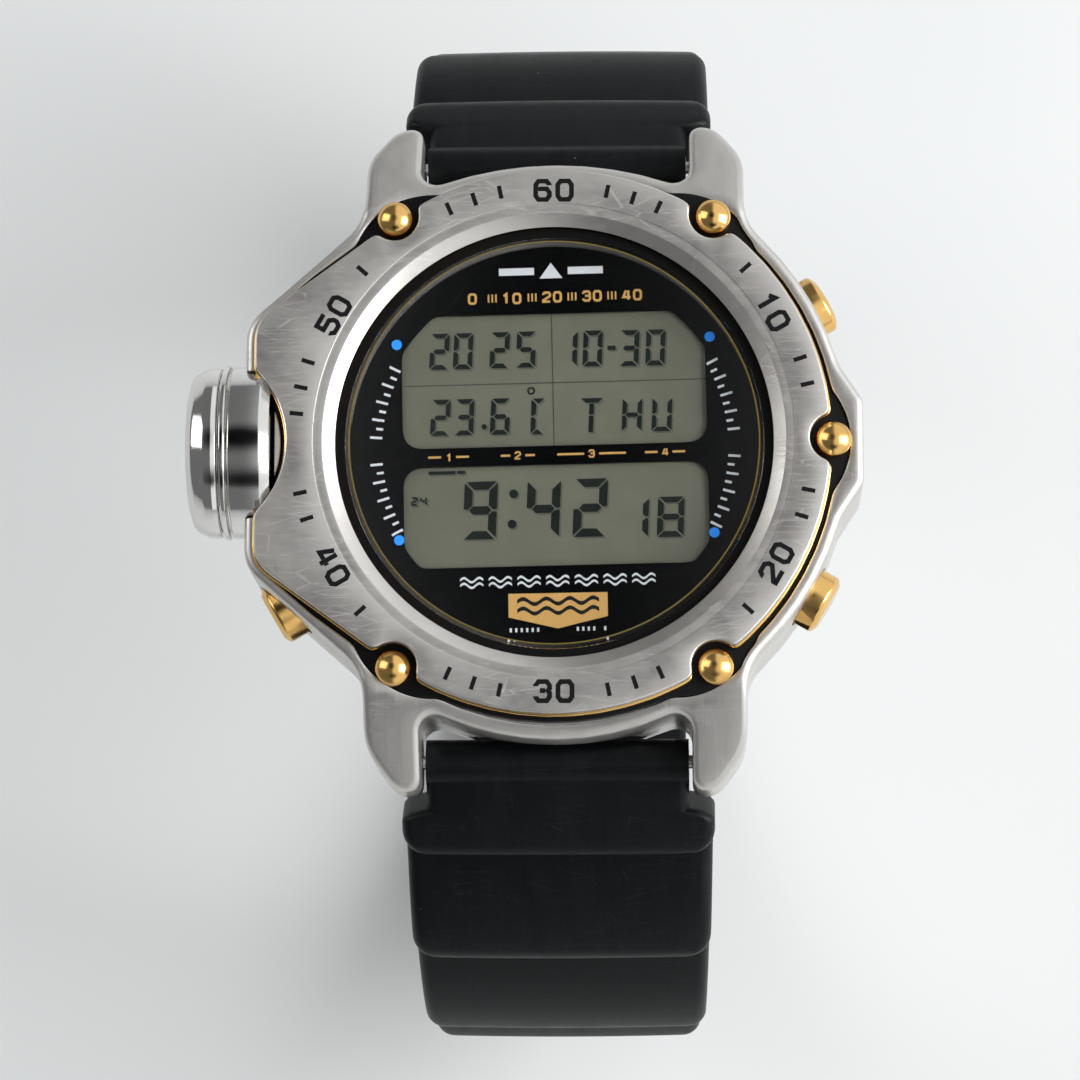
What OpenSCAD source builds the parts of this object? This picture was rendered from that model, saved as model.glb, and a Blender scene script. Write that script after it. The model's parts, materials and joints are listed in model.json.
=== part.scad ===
// Digital dive computer: steel case with a round bezel plate, a depth sensor
// capsule at 9 o'clock, four pushers and a pleated resin strap in two halves.
// Millimetres. Origin at the centre of the case back's outer face, +Z out
// through the dial, +X towards 3 o'clock and +Y towards 12 o'clock.

/* [Case] */
// Radius of the round case barrel
barrel_r = 21.7; // [21.6:0.1:21.9]
// Half the gap between the lugs, for a 20 mm strap
lug_in = 10; // [10:0.1:10.4]
// Distance from the centre line to the outer flank of a lug
lug_out = 14.05; // [13.9:0.05:14.3]
// Height of the case's top face over the case back
case_top = 11.2; // [11:0.1:11.6]
// Radius of the cavity that holds the module
cavity_r = 16.4; // [16.3:0.05:16.6]

/* [Bezel] */
// Radius of the bezel plate
bezel_r = 20.3; // [20:0.1:20.4]
// Radius of the opening in the bezel plate
bezel_hole_r = 15.8; // [15.6:0.1:16]
// Thickness of the bezel plate
bezel_t = 0.8; // [0.7:0.1:1]
// Radius of the circle on which the five bezel screws stand
screw_ring_r = 20.5; // [20.3:0.1:20.6]
// Radius of a bezel screw's domed head
screw_head_r = 1.3; // [1.1:0.1:1.4]

/* [Sensor] */
// Radius of the depth sensor capsule
sensor_r = 6.4; // [6.2:0.1:6.5]
// Height of the sensor's axis over the case back
sensor_z = 7.7; // [7.7:0.1:7.9]
// Distance from the watch's centre to the sensor's end face
sensor_reach = 27.1; // [26.6:0.1:27.6]

/* [Pushers] */
// Radius of a large pusher cap
pusher_r = 2.25; // [2:0.05:2.3]
// Height of the pushers' axes over the case back
pusher_z = 6.2; // [6:0.1:6.4]
// How far a pusher travels when it is pressed
pusher_travel = 0.6; // [0.3:0.1:0.6]

/* [Strap] */
// Width of the strap beside the lug tips
strap_w = 23.3; // [22.5:0.1:23.5]
// Width of the strap between the lugs
strap_end_w = 19.5; // [19:0.1:19.6]
// Width of the strap at the buckle
strap_tail_w = 18.6; // [18:0.1:18.6]
// Thickness of the pleated part of the strap
pleat_t = 4; // [3.5:0.1:4]
// Thickness of the plain part of the strap
tail_t = 3; // [2.6:0.1:3]
// Number of buckle holes on each of the strap's two lower arcs
holes_per_arc = 4; // [2:1:4]

/* [Hidden] */
$fn = 96;

steel = "silver";
gold = "goldenrod";
black = [0.08, 0.08, 0.09];
cut = 0.5;                      // how far a cutting tool runs past the face it cuts
gap = 0.05;                     // clearance between pieces that are assembled together

// ---- heights over the case back ----
back_t = 1.0;                   // case back's flange, and so the case's underside
ledge_z = [8.9, 9.6];           // ring in the case that carries the crystal
ledge_r = 15.1;
seat_z = 10.0;                  // floor of the recess for the black seat plate
trim_z = 10.9;                  // top of the seat plate, underside of the gold trim
bezel_z = 11.8;                 // underside of the bezel plate
bezel_top = bezel_z + bezel_t;
crystal_r = 15.4;
glass_bore_r = 16.15;
seat_grow = 0.4;                // how far the seat plate and the trim show past the bezel
trim_grow = 0.25;

// ---- screws ----
SCREWS = [0, 55, 125, 235, 305];
notch_r = 1.8;                  // notch in the bezel's edge round a screw
back_screw_ring = 18.1;

stem_r = 2.2;                   // sensor housing's stem, which passes through the case wall

// ---- spring bars and the lug tips round them ----
bar_y = 22.7;
bar_z = 3.6;
tip_r = 2.6;
slope_y = 18;                   // where the lugs' top faces start to slope down
scoop_r = 2.4;

// ---- strap: the arcs that its skin side and its outside follow, in the Y-Z plane ----
skin_r = 28;
side_c = [8.5, -23.4];
drop = 5;                       // straight stretch between the two side arcs
low_c = side_c - [0, drop];
low_end = -50;                  // angle where the lower side arc meets the bottom arc
bottom_skin_r = skin_r + side_c.x / cos(low_end);
bottom_c = [0, low_c.y - side_c.x * tan(low_end)];
bar_angle = atan2(bar_z - side_c.y, bar_y - side_c.x);
ear_start_r = 3.1;              // radius round the spring bar where the ears start
eye_r = 2.0;
tail_past_centre = 6;           // how far the tail runs past the loop's lowest point
lean_12 = -4;                   // outward lean of each strap half about its spring bar at rest
lean_6 = 1.2;

// ---- buckle ----
buckle_a = -55.5;               // angle of the buckle bar on the bottom arc
buckle_tilt = 206.5;            // direction of the buckle frame from its bar
buckle_mid_r = bottom_skin_r + tail_t / 2;
buckle_at = bottom_c + buckle_mid_r * [cos(buckle_a), sin(buckle_a)];
buckle_bar_r = 0.75;
buckle_len = 11.8;
buckle_front = 9.4;
buckle_half_in = 9.6;
buckle_half_out = 11.7;
buckle_t = 1.8;
tongue_w = 2.6;

// ---- keeper ----
keeper_a = [-40.5, -29.5];
keeper_play = 0.3;
keeper_wall = 1.1;

// ---- pushers: angle, distance of the cap's outer face from the centre, cap radius ----
LIGHT = [30, 23.2, pusher_r];
TEMP = [-30, 23.2, pusher_r];
MODE = [210, 24.3, pusher_r];
ADJUST = [150, 22.5, 1.5];
PUSHERS = [LIGHT, TEMP, MODE, ADJUST];
cap_t = 2.3;
shaft_r = 0.9;
shaft_in = 15.4;                // inner end of a pusher's shaft
clip_at = 15.9;
clip_t = 0.3;
spring_floor = 18.6;
seal_at = 17.4;
seal_t = 0.6;

// ---- outlines: corners [x, y, rounding radius], joined by arcs ----
function unit(v) = v / norm(v);
function plan(p) = [p.x, p.y];
function tangent_corner(r, a0, a1) =
    let (mid = (a0 + a1) / 2, reach = r / cos((a1 - a0) / 2))
    [reach * cos(mid), reach * sin(mid), r];
// y at which the tangent of a circle of radius r, touching at angle a, passes x
function tangent_y(r, a, x) = (r - x * cos(a)) / sin(a);
function corner_arc(a, b, c, r) =
    let (u = unit(a - b), v = unit(c - b), half = acos(u * v) / 2,
         centre = b + unit(u + v) * r / sin(half),
         p = b + u * r / tan(half) - centre, q = b + v * r / tan(half) - centre,
         start = atan2(p.y, p.x), turn = atan2(p.x * q.y - p.y * q.x, p * q),
         n = max(3, ceil(abs(turn) / 6)))
    [for (i = [0 : n]) centre + r * [cos(start + turn * i / n), sin(start + turn * i / n)]];
function rounded(corners) =
    let (n = len(corners))
    [for (i = [0 : n - 1])
        each corner_arc(plan(corners[(i + n - 1) % n]), plan(corners[i]),
                        plan(corners[(i + 1) % n]), corners[i].z)];
function mirrored(half) = [for (i = [len(half) - 1 : -1 : 0]) [half[i].x, -half[i].y, half[i].z]];

// angles on the barrel where the guard, the lugs' outsides and the lug gap meet it
guard_a = 17;
flank_a = 45.4;
gap_a = 67.4;
case_half = [
    [22.7, 3.1, 1],
    [20.93, 5.77, 3],
    tangent_corner(barrel_r, guard_a, flank_a),
    [lug_out, tangent_y(barrel_r, flank_a, lug_out), 4],
    [lug_out, 22.2, 4],
    [11.9, 25.1, 2],
    [lug_in, 25.3, 0.5],
    [lug_in, tangent_y(barrel_r, gap_a, lug_in), 1.2],
    tangent_corner(barrel_r, gap_a, 180 - gap_a),
    [-lug_in, tangent_y(barrel_r, gap_a, lug_in), 1.2],
    [-lug_in, 25.3, 0.5],
    [-11.9, 25.1, 2],
    [-lug_out, 22.2, 4],
    [-lug_out, 16.9, 4],
    [-22.8, 9.16, 3]];

// the bezel's wing leaves the round plate along a tangent and ends at the sensor
wing_a = 126.4;
wing_x = -22;
hollow_r = 7.5;
hollow_x = -27.2;
function bezel_half(grow) = [
    tangent_corner(bezel_r + grow, 0, wing_a / 2),
    tangent_corner(bezel_r + grow, wing_a / 2, wing_a),
    [wing_x - grow, tangent_y(bezel_r + grow, wing_a, wing_x - grow), 2.6]];

module plate_outline(grow, hollow) {
    half = bezel_half(grow);
    difference() {
        polygon(rounded(concat(half, mirrored(half))));
        translate([hollow_x, 0]) circle(r = hollow);
    }
}

module bezel_outline(grow) {
    difference() {
        plate_outline(grow, hollow_r - grow);
        at_screws() circle(r = notch_r);
    }
}

module at_screws() {
    for (a = SCREWS) rotate(a) translate([screw_ring_r, 0]) children();
}

// a leaf of the black seat shows round each screw
module seat_outline(grow) {
    leaf_r = 6;
    leaf_at = 15.7;
    intersection() {
        union() {
            plate_outline(seat_grow, hollow_r - seat_grow - grow);
            for (a = SCREWS) rotate(a) translate([leaf_at, 0]) circle(r = leaf_r + grow);
        }
        square([2 * (22.2 + grow), 60], center = true);
    }
}

// ---- helpers ----
module slab(z0, z1) {
    translate([0, 0, z0]) linear_extrude(z1 - z0) children();
}
module disc(r, z0, z1) {
    translate([0, 0, z0]) cylinder(r = r, h = z1 - z0);
}
module ring(r_in, r_out, z0, z1) {
    difference() {
        disc(r_out, z0, z1);
        disc(r_in, z0 - cut, z1 + cut);
    }
}
// a cylinder on a pusher's axis, between two distances from the watch's centre
module on_pusher(p, r, from, to) {
    rotate(p[0]) translate([from, 0, pusher_z]) rotate([0, 90, 0]) cylinder(r = r, h = to - from);
}
// a cylinder on the sensor's axis, between two distances from the watch's centre
module on_sensor(r, from, to) {
    translate([-to, 0, sensor_z]) rotate([0, 90, 0]) cylinder(r = r, h = to - from);
}
// the room the sensor's drum takes out of the case and the plates above it
module sensor_pocket() {
    on_sensor(sensor_r + 0.15, 20.6, 30);
}
// a cylinder along X at a place in the Y-Z plane
module rod(at, r, half_len) {
    translate([-half_len, at.x, at.y]) rotate([0, 90, 0]) cylinder(r = r, h = 2 * half_len);
}
// a Y-Z outline given thickness along X
module across(half_w) {
    rotate([90, 0, 90]) translate([0, 0, -half_w]) linear_extrude(2 * half_w) children();
}
module both_ends() {
    children();
    mirror([0, 1, 0]) children();
}

// ---- case ----
module case_profile() {
    slope = [bar_y - slope_y, bar_z - case_top];
    touch_a = atan2(-slope.y, -slope.x) - acos(tip_r / norm(slope));
    tip = [bar_y, bar_z, 0] + tangent_corner(tip_r, 0, touch_a);
    polygon(rounded([
        [slope_y, case_top, 6], tip, [tip.x, bar_z - tip_r, tip_r - 0.02],
        [-tip.x, bar_z - tip_r, tip_r - 0.02], [-tip.x, tip.y, tip_r], [-slope_y, case_top, 6]]));
}

module case_body() {
    color(steel) difference() {
        intersection() {
            slab(back_t, case_top) polygon(rounded(concat(case_half, mirrored(case_half))));
            across(30) case_profile();
        }
        disc(cavity_r, back_t - cut, ledge_z[0]);
        disc(ledge_r, ledge_z[0] - cut, ledge_z[1] + cut);
        disc(glass_bore_r, ledge_z[1], seat_z + cut);
        slab(seat_z, case_top + cut) seat_outline(gap);
        ring(cavity_r - cut, 17.2, back_t - cut, back_t + 0.6);
        both_ends() union() {
            rod([bar_y, bar_z], scoop_r, lug_in);
            translate([-lug_in, bar_y - scoop_r, -cut]) cube([2 * lug_in, 2 * scoop_r, bar_z + cut]);
            for (side = [-1, 1]) translate([side * (lug_in + 0.2), bar_y, bar_z])
                rotate([0, 90, 0]) cylinder(r = 0.55, h = 2.4, center = true);
        }
        sensor_pocket();
        on_sensor(stem_r + 0.05, 14, 21);
        for (p = PUSHERS) {
            on_pusher(p, p[2] + 0.2, p[1] - cap_t - pusher_travel - 0.1, 28);
            on_pusher(p, min(1.7, p[2] + 0.15), spring_floor, p[1] - cap_t);
            on_pusher(p, shaft_r + 0.03, 14, 20);
            on_pusher(p, 1.4, seal_at, seal_at + seal_t);
        }
        for (a = [45 : 90 : 315]) rotate(a) translate([back_screw_ring, 0]) disc(0.52, 0, 3.6);
        at_screws() disc(0.72, 7, seat_z + cut);
    }
}

module case_back() {
    color(steel) difference() {
        union() {
            disc(19.4, 0, back_t);
            disc(cavity_r - 0.1, back_t, 1.9);
        }
        for (a = [45 : 90 : 315]) rotate(a) translate([back_screw_ring, 0]) {
            disc(0.55, -cut, 2);
            disc(1.0, -cut, 0.6);
        }
        disc(9.1, 1.6, 2.4);
        ring(13.6, 14, -cut, 0.15);
    }
}

module case_back_gasket() {
    color(black) ring(cavity_r + 0.1, 17.1, back_t, back_t + 0.55);
}

module case_back_screws() {
    color(steel) for (a = [45 : 90 : 315]) rotate(a) translate([back_screw_ring, 0]) difference() {
        union() {
            disc(0.95, 0.08, 0.6);
            disc(0.5, 0.6, 3.4);
        }
        translate([-1, -0.12, 0]) cube([2, 0.24, 0.3]);
    }
}

module bezel() {
    bevel_r = 16.7;
    bevel_h = 0.55;
    step_r = 17.5;
    step_h = 0.15;
    color(steel) difference() {
        slab(bezel_z, bezel_top) bezel_outline(0);
        disc(bezel_hole_r, 0, 20);
        translate([0, 0, bezel_top - step_h - bevel_h])
            cylinder(r1 = bezel_hole_r, r2 = bevel_r, h = bevel_h + 0.01);
        disc(step_r, bezel_top - step_h, 20);
        sensor_pocket();
    }
}

module bezel_trim() {
    color(gold) difference() {
        slab(trim_z, bezel_z) bezel_outline(trim_grow);
        disc(glass_bore_r, 0, 20);
        sensor_pocket();
    }
}

module bezel_seat() {
    color(black) difference() {
        slab(seat_z, trim_z) seat_outline(0);
        disc(glass_bore_r, 0, 20);
        at_screws() disc(0.72, 0, 20);
        sensor_pocket();
    }
}

module bezel_screws() {
    dome_r = 1.5;
    color(gold) at_screws() {
        disc(0.7, 7.2, trim_z);
        intersection() {
            disc(screw_head_r, trim_z, 13);
            translate([0, 0, 12.55 - dome_r]) sphere(r = dome_r);
        }
    }
}

module crystal() {
    color([0.8, 0.85, 0.9]) {
        disc(crystal_r, ledge_z[1], 11.3);
        translate([0, 0, 11.3]) cylinder(r1 = crystal_r, r2 = crystal_r - 0.3, h = 0.3);
    }
}

module crystal_gasket() {
    color(black) ring(crystal_r + 0.03, glass_bore_r - 0.03, ledge_z[1], trim_z + 0.35);
}

// ---- module ----
window_w = 22.2;
upper_window = [0.25, 10];
lower_window = [-8.6, -1.3];

module window(y) {
    translate([-window_w / 2, y[0]]) square([window_w, y[1] - y[0]]);
}

module dial_mask() {
    color(black) difference() {
        slab(8.45, 8.85) circle(r = 16.1);
        slab(8, 9.2) intersection() {
            union() {
                window(upper_window);
                window(lower_window);
            }
            circle(r = 13.6);
        }
    }
}

module lcd_panel() {
    color([0.65, 0.68, 0.6]) slab(7.3, 8.4) square([23, 20.4], center = true);
}

module backlight_panel() {
    color([0.7, 0.8, 0.75]) slab(6.85, 7.25) square([22, 17.6], center = true);
}

module module_notches() {
    for (p = PUSHERS) on_pusher(p, 2.1, 13.9, 17);
}

module module_housing() {
    color([0.2, 0.2, 0.22]) difference() {
        disc(15.7, 4.85, 8.4);
        translate([-11.6, -10.3, 6.8]) cube([23.2, 20.6, 2]);
        for (y = [-9.5, 9.5]) translate([-10.1, y - 0.6, 4]) cube([20.2, 1.2, 4]);
        module_notches();
        on_sensor(3.3, 13.6, 17);
    }
}

module zebra_strips() {
    color([0.75, 0.5, 0.55]) for (y = [-9.5, 9.5])
        translate([-10, y - 0.5, 4.85]) cube([20, 1, 2.4]);
}

module circuit_board() {
    color("darkgreen") difference() {
        disc(15.1, 4.05, 4.8);
        module_notches();
        for (a = [80, 260]) rotate(a) translate([13.4, 0]) disc(0.5, 3, 6);
    }
}

module module_base() {
    color([0.2, 0.2, 0.22]) difference() {
        disc(15.2, 2.5, 4);
        disc(10.15, 2, 5);
        module_notches();
        for (a = [-1, 1]) translate([a * 12.6 - 1.6, -2, 2.2]) cube([3.2, 4, 0.6]);
    }
}

module battery() {
    color("silver") {
        disc(10, 2.55, 3.7);
        disc(9, 3.7, 3.98);
    }
}

module battery_clip() {
    color("silver") {
        translate([-13.6, -1.6, 2.2]) cube([27.2, 3.2, 0.25]);
        for (a = [-1, 1]) translate([a * 12.6 - 0.9, -1.6, 2.45]) cube([1.8, 3.2, 0.3]);
    }
}

module buzzer() {
    color("gold") {
        disc(9, 1.6, 1.8);
        disc(6, 1.8, 1.95);
    }
}

module switch_contacts() {
    color("gold") for (p = PUSHERS)
        rotate(p[0]) translate([13.92, -1.3, pusher_z - 1.2]) cube([0.2, 2.6, 2.0]);
}

// ---- sensor ----
// a drum on the sensor's axis with its outer and inner edges rounded
module sensor_drum(r, outer_round, inner_round, from, to) {
    h = to - from;
    translate([-to, 0, sensor_z]) rotate([0, 90, 0]) rotate_extrude() polygon(concat(
        [[0, 0]], corner_arc([0, 0], [r, 0], [r, h], outer_round),
        corner_arc([r, 0], [r, h], [0, h], inner_round), [[0, h]]));
}

module sensor_housing() {
    color(steel) difference() {
        union() {
            sensor_drum(sensor_r, 0.15, 0.5, 20.9, 23.9);
            on_sensor(sensor_r - 0.5, 23.9, 24.1);
            on_sensor(sensor_r + 0.1, 24.1, 24.5);
            on_sensor(sensor_r - 0.4, 24.5, 24.7);
            on_sensor(stem_r, 16.6, 20.9);
        }
        on_sensor(4.6, 22, 26);
        on_sensor(0.8, 15, 24);
    }
}

module sensor_cap() {
    round_r = 2.2;
    color(steel) difference() {
        sensor_drum(sensor_r - 0.05, round_r, 0.1, 24.7, sensor_reach);
        on_sensor(4.6, 24, 25.6);
        for (a = [0 : 60 : 300]) translate([-30, 0, sensor_z]) rotate([a, 0, 0])
            translate([0, 0, 2.2]) rotate([0, 90, 0]) cylinder(r = 0.35, h = 6);
    }
}

module sensor_oring() {
    color(black) difference() {
        on_sensor(stem_r + 0.6, 20.63, 20.87);
        on_sensor(stem_r + 0.04, 20, 22);
    }
}

module sensor_element() {
    color([0.85, 0.85, 0.8]) {
        on_sensor(4.5, 22.05, 25.2);
        on_sensor(0.7, 15.2, 22.05);
    }
}

// ---- pushers ----
module pusher(p, tint) {
    color(tint) difference() {
        union() {
            rotate(p[0]) translate([p[1] - cap_t, 0, pusher_z]) rotate([0, 90, 0]) rotate_extrude() {
                square([p[2] - 0.4, cap_t]);
                square([p[2], cap_t - 0.4]);
                translate([p[2] - 0.4, cap_t - 0.4]) circle(r = 0.4);
            }
            on_pusher(p, shaft_r, shaft_in, p[1] - cap_t + 0.1);
        }
        difference() {
            on_pusher(p, 2, clip_at, clip_at + clip_t);
            on_pusher(p, 0.6, 14, 20);
        }
    }
}
module clip(p) {
    color(steel) difference() {
        on_pusher(p, 1.5, clip_at + 0.02, clip_at + clip_t - 0.02);
        on_pusher(p, 0.62, 14, 20);
        rotate(p[0]) translate([15, -0.55, pusher_z - 2]) cube([2, 1.1, 2]);
    }
}

module pusher_light() pusher(LIGHT, gold);
module pusher_temp() pusher(TEMP, gold);
module pusher_mode() pusher(MODE, gold);
module pusher_adjust() pusher(ADJUST, steel);
module clip_light() clip(LIGHT);
module clip_temp() clip(TEMP);
module clip_mode() clip(MODE);
module clip_adjust() clip(ADJUST);

// each spring as the closed coils of its pressed length
module pusher_springs() {
    wire_r = 0.14;
    coil_r = 1.2;
    color(steel) for (p = PUSHERS) for (i = [0 : 2])
        rotate(p[0]) translate([spring_floor + 0.2 + i * 0.3, 0, pusher_z]) rotate([0, 90, 0])
            rotate_extrude() translate([coil_r, 0]) circle(r = wire_r, $fn = 24);
}

module pusher_seals() {
    color(black) for (p = PUSHERS)
        rotate(p[0]) translate([seal_at + seal_t / 2, 0, pusher_z]) rotate([0, 90, 0])
            rotate_extrude() translate([1.16, 0]) circle(r = 0.21, $fn = 24);
}

// ---- spring bars ----
module spring_bar_tubes() {
    color(steel) both_ends() difference() {
        rod([bar_y, bar_z], 0.9, 9.2);
        rod([bar_y, bar_z], 0.52, 10);
    }
}

module spring_bar_pins() {
    color(steel) both_ends() for (side = [-1, 1]) union() {
        translate([side * 9, bar_y, bar_z]) rotate([0, 90, 0])
            cylinder(r = 0.5, h = 4, center = true);
        translate([side * 9.5, bar_y, bar_z]) rotate([0, 90, 0])
            cylinder(r = 0.9, h = 0.5, center = true);
    }
}

// ---- strap ----
function arc(centre, r, from, to) =
    let (n = ceil(abs(to - from) / 4))
    [for (i = [0 : n]) let (a = from + (to - from) * i / n) centre + r * [cos(a), sin(a)]];

// one half of the loop, from the spring bar to an angle on the bottom arc
module band(end_a) {
    start_a = bar_angle - 1.5;
    polygon(concat(
        arc(side_c, skin_r + pleat_t, start_a, 0),
        [[side_c.x + skin_r + pleat_t, low_c.y]],
        arc(low_c, skin_r + tail_t, 0, low_end),
        arc(bottom_c, bottom_skin_r + tail_t, low_end - 1, end_a),
        arc(bottom_c, bottom_skin_r, end_a, low_end - 1),
        arc(low_c, skin_r, low_end, 0),
        arc(side_c, skin_r, 0, start_a)));
}

// the strap's width seen along Y: full beside the lugs, narrower towards the buckle
module width_limit() {
    rotate([90, 0, 0]) linear_extrude(120, center = true) polygon([
        [-strap_w / 2, 8], [strap_w / 2, 8], [strap_w / 2, 0], [strap_w / 2 - 0.7, -19.4],
        [strap_tail_w / 2, -38], [strap_tail_w / 2, -80], [-strap_tail_w / 2, -80],
        [-strap_tail_w / 2, -38], [0.7 - strap_w / 2, -19.4], [-strap_w / 2, 0]]);
}

module strap_half(end_a) {
    ear = 5;
    difference() {
        union() {
            difference() {
                intersection() {
                    across(strap_w) band(end_a);
                    width_limit();
                }
                for (side = [-1, 1]) translate([side * (strap_end_w / 2 + ear), 0, 0])
                    rod([bar_y, bar_z], ear_start_r, ear);
            }
            rod([bar_y, bar_z], eye_r, strap_end_w / 2);
        }
        rod([bar_y, bar_z], 0.95, 20);
    }
}

// a strap half leans as it hangs on its spring bar, with all that it carries
module hung(lean) {
    translate([0, bar_y, bar_z]) rotate([lean, 0, 0]) translate([0, -bar_y, -bar_z]) children();
}

module strap_12() {
    eye = 1.9;
    color(black) hung(lean_12) difference() {
        union() {
            strap_half(buckle_a);
            rod(buckle_at, eye, strap_tail_w / 2);
        }
        rod(buckle_at, buckle_bar_r + 0.05, 20);
        rod(buckle_at, 3.4, tongue_w / 2 + 0.4);
    }
}

// one buckle hole through the strap, square to it
module strap_hole(centre, r, a) {
    hole_r = 1.1;
    translate([0, centre.x, centre.y]) rotate([a, 0, 0]) translate([0, r - 2, 0])
        rotate([-90, 0, 0]) cylinder(r = hole_r, h = 8);
}

module strap_6() {
    hole_pitch = 6.4;
    first_hole = 18;
    tail_r = strap_tail_w / 2;
    mid_low = skin_r + tail_t / 2;
    mid_bottom = bottom_skin_r + tail_t / 2;
    turn = 180 / PI;
    tip_a = -90 - tail_past_centre / mid_bottom * turn;
    left_over = first_hole + holes_per_arc * hole_pitch - (low_end - tip_a) / turn * mid_bottom;
    color(black) mirror([0, 1, 0]) hung(lean_6) difference() {
        strap_half(tip_a - 2);
        translate([0, -tail_past_centre - 2, -70]) difference() {
            translate([-20, -10, 0]) cube([40, 12 + tail_r, 30]);
            translate([0, tail_r + 2, -1]) cylinder(r = tail_r, h = 40);
        }
        for (i = [0 : holes_per_arc - 1]) {
            strap_hole(bottom_c, bottom_skin_r,
                       tip_a + (first_hole + i * hole_pitch) / mid_bottom * turn);
            strap_hole(low_c, skin_r, low_end + (left_over + i * hole_pitch) / mid_low * turn);
        }
    }
}

module keeper_loop() {
    inner_w = strap_tail_w / 2 + keeper_play;
    outer_r = skin_r + tail_t + keeper_play;
    inner_r = skin_r - keeper_play;
    color(black) hung(lean_12) difference() {
        intersection() {
            rod(low_c, outer_r + keeper_wall, inner_w + keeper_wall);
            across(20) polygon([low_c, for (a = keeper_a) low_c + 40 * [cos(a), sin(a)]]);
        }
        rod(low_c, inner_r - keeper_wall, 20);
        difference() {
            rod(low_c, outer_r, inner_w);
            rod(low_c, inner_r, 20);
        }
    }
}

// ---- buckle, drawn along +Y from its bar and turned into place ----
module at_buckle() {
    hung(lean_12) translate([0, buckle_at.x, buckle_at.y]) rotate([buckle_tilt, 0, 0]) children();
}

module buckle_frame() {
    back = -1.7;
    corner = 2.2;
    color(steel) at_buckle() difference() {
        translate([0, 0, -buckle_t / 2]) linear_extrude(buckle_t) difference() {
            polygon(rounded([[-buckle_half_out, back, 0.8], [buckle_half_out, back, 0.8],
                [buckle_half_out, buckle_len, corner], [-buckle_half_out, buckle_len, corner]]));
            translate([-buckle_half_in, -5]) square([2 * buckle_half_in, 5 + buckle_front]);
        }
        rod([0, 0], buckle_bar_r + 0.01, 20);
    }
}

module buckle_bar() {
    color(steel) at_buckle() rod([0, 0], buckle_bar_r, buckle_half_out - 0.3);
}

module buckle_tongue() {
    rest = buckle_t / 2 + 0.15;
    color(steel) at_buckle() difference() {
        across(tongue_w / 2) union() {
            circle(r = 1.5);
            translate([0, rest]) square([buckle_len - 0.4, 0.95]);
            translate([0, 0]) square([1.2, rest + 0.3]);
        }
        rod([0, 0], buckle_bar_r + 0.05, 20);
    }
}

case_body();
case_back();
case_back_gasket();
case_back_screws();
bezel();
bezel_trim();
bezel_seat();
bezel_screws();
crystal();
crystal_gasket();
dial_mask();
lcd_panel();
backlight_panel();
module_housing();
zebra_strips();
circuit_board();
module_base();
battery();
battery_clip();
buzzer();
switch_contacts();
sensor_housing();
sensor_cap();
sensor_oring();
sensor_element();
pusher_light();
pusher_temp();
pusher_mode();
pusher_adjust();
clip_light();
clip_temp();
clip_mode();
clip_adjust();
pusher_springs();
pusher_seals();
spring_bar_tubes();
spring_bar_pins();
strap_12();
strap_6();
keeper_loop();
buckle_frame();
buckle_bar();
buckle_tongue();
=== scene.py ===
"""Looks of the digital dive computer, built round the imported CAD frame.

Shapes are worked out in millimetres in the frame's own axes and stored in metres.
"""

import json
import math

import bmesh
import bpy
import numpy as np
from mathutils import Matrix, Vector, geometry

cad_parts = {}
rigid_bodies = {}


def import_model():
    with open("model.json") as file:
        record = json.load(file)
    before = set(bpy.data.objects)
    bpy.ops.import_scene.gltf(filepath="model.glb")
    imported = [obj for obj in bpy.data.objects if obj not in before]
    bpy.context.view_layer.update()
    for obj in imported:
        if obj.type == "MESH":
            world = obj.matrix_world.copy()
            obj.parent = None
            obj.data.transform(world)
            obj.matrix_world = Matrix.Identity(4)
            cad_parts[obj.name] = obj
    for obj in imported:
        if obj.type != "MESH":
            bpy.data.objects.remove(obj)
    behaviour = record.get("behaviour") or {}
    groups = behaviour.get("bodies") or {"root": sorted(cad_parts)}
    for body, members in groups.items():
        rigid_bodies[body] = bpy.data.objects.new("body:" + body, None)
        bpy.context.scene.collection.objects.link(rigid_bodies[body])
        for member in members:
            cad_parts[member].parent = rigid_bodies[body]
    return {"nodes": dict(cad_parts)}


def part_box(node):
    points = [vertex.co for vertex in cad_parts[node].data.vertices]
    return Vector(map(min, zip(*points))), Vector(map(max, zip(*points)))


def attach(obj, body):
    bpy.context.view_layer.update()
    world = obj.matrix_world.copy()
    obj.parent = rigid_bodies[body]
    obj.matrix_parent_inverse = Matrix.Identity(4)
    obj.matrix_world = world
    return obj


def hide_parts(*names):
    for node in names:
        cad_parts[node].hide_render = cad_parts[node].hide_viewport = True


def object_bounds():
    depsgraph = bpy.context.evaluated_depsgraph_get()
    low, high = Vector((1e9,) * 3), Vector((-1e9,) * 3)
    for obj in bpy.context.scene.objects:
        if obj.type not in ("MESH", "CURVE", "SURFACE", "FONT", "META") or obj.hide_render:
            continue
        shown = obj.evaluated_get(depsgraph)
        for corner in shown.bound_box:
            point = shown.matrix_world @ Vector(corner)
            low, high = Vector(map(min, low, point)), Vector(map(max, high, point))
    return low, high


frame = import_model()
cad_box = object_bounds()
NODES = frame["nodes"]
MM = 0.001


def top_of(node):
    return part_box(node)[1][2] / MM


def foot_of(node):
    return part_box(node)[0][2] / MM


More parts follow.
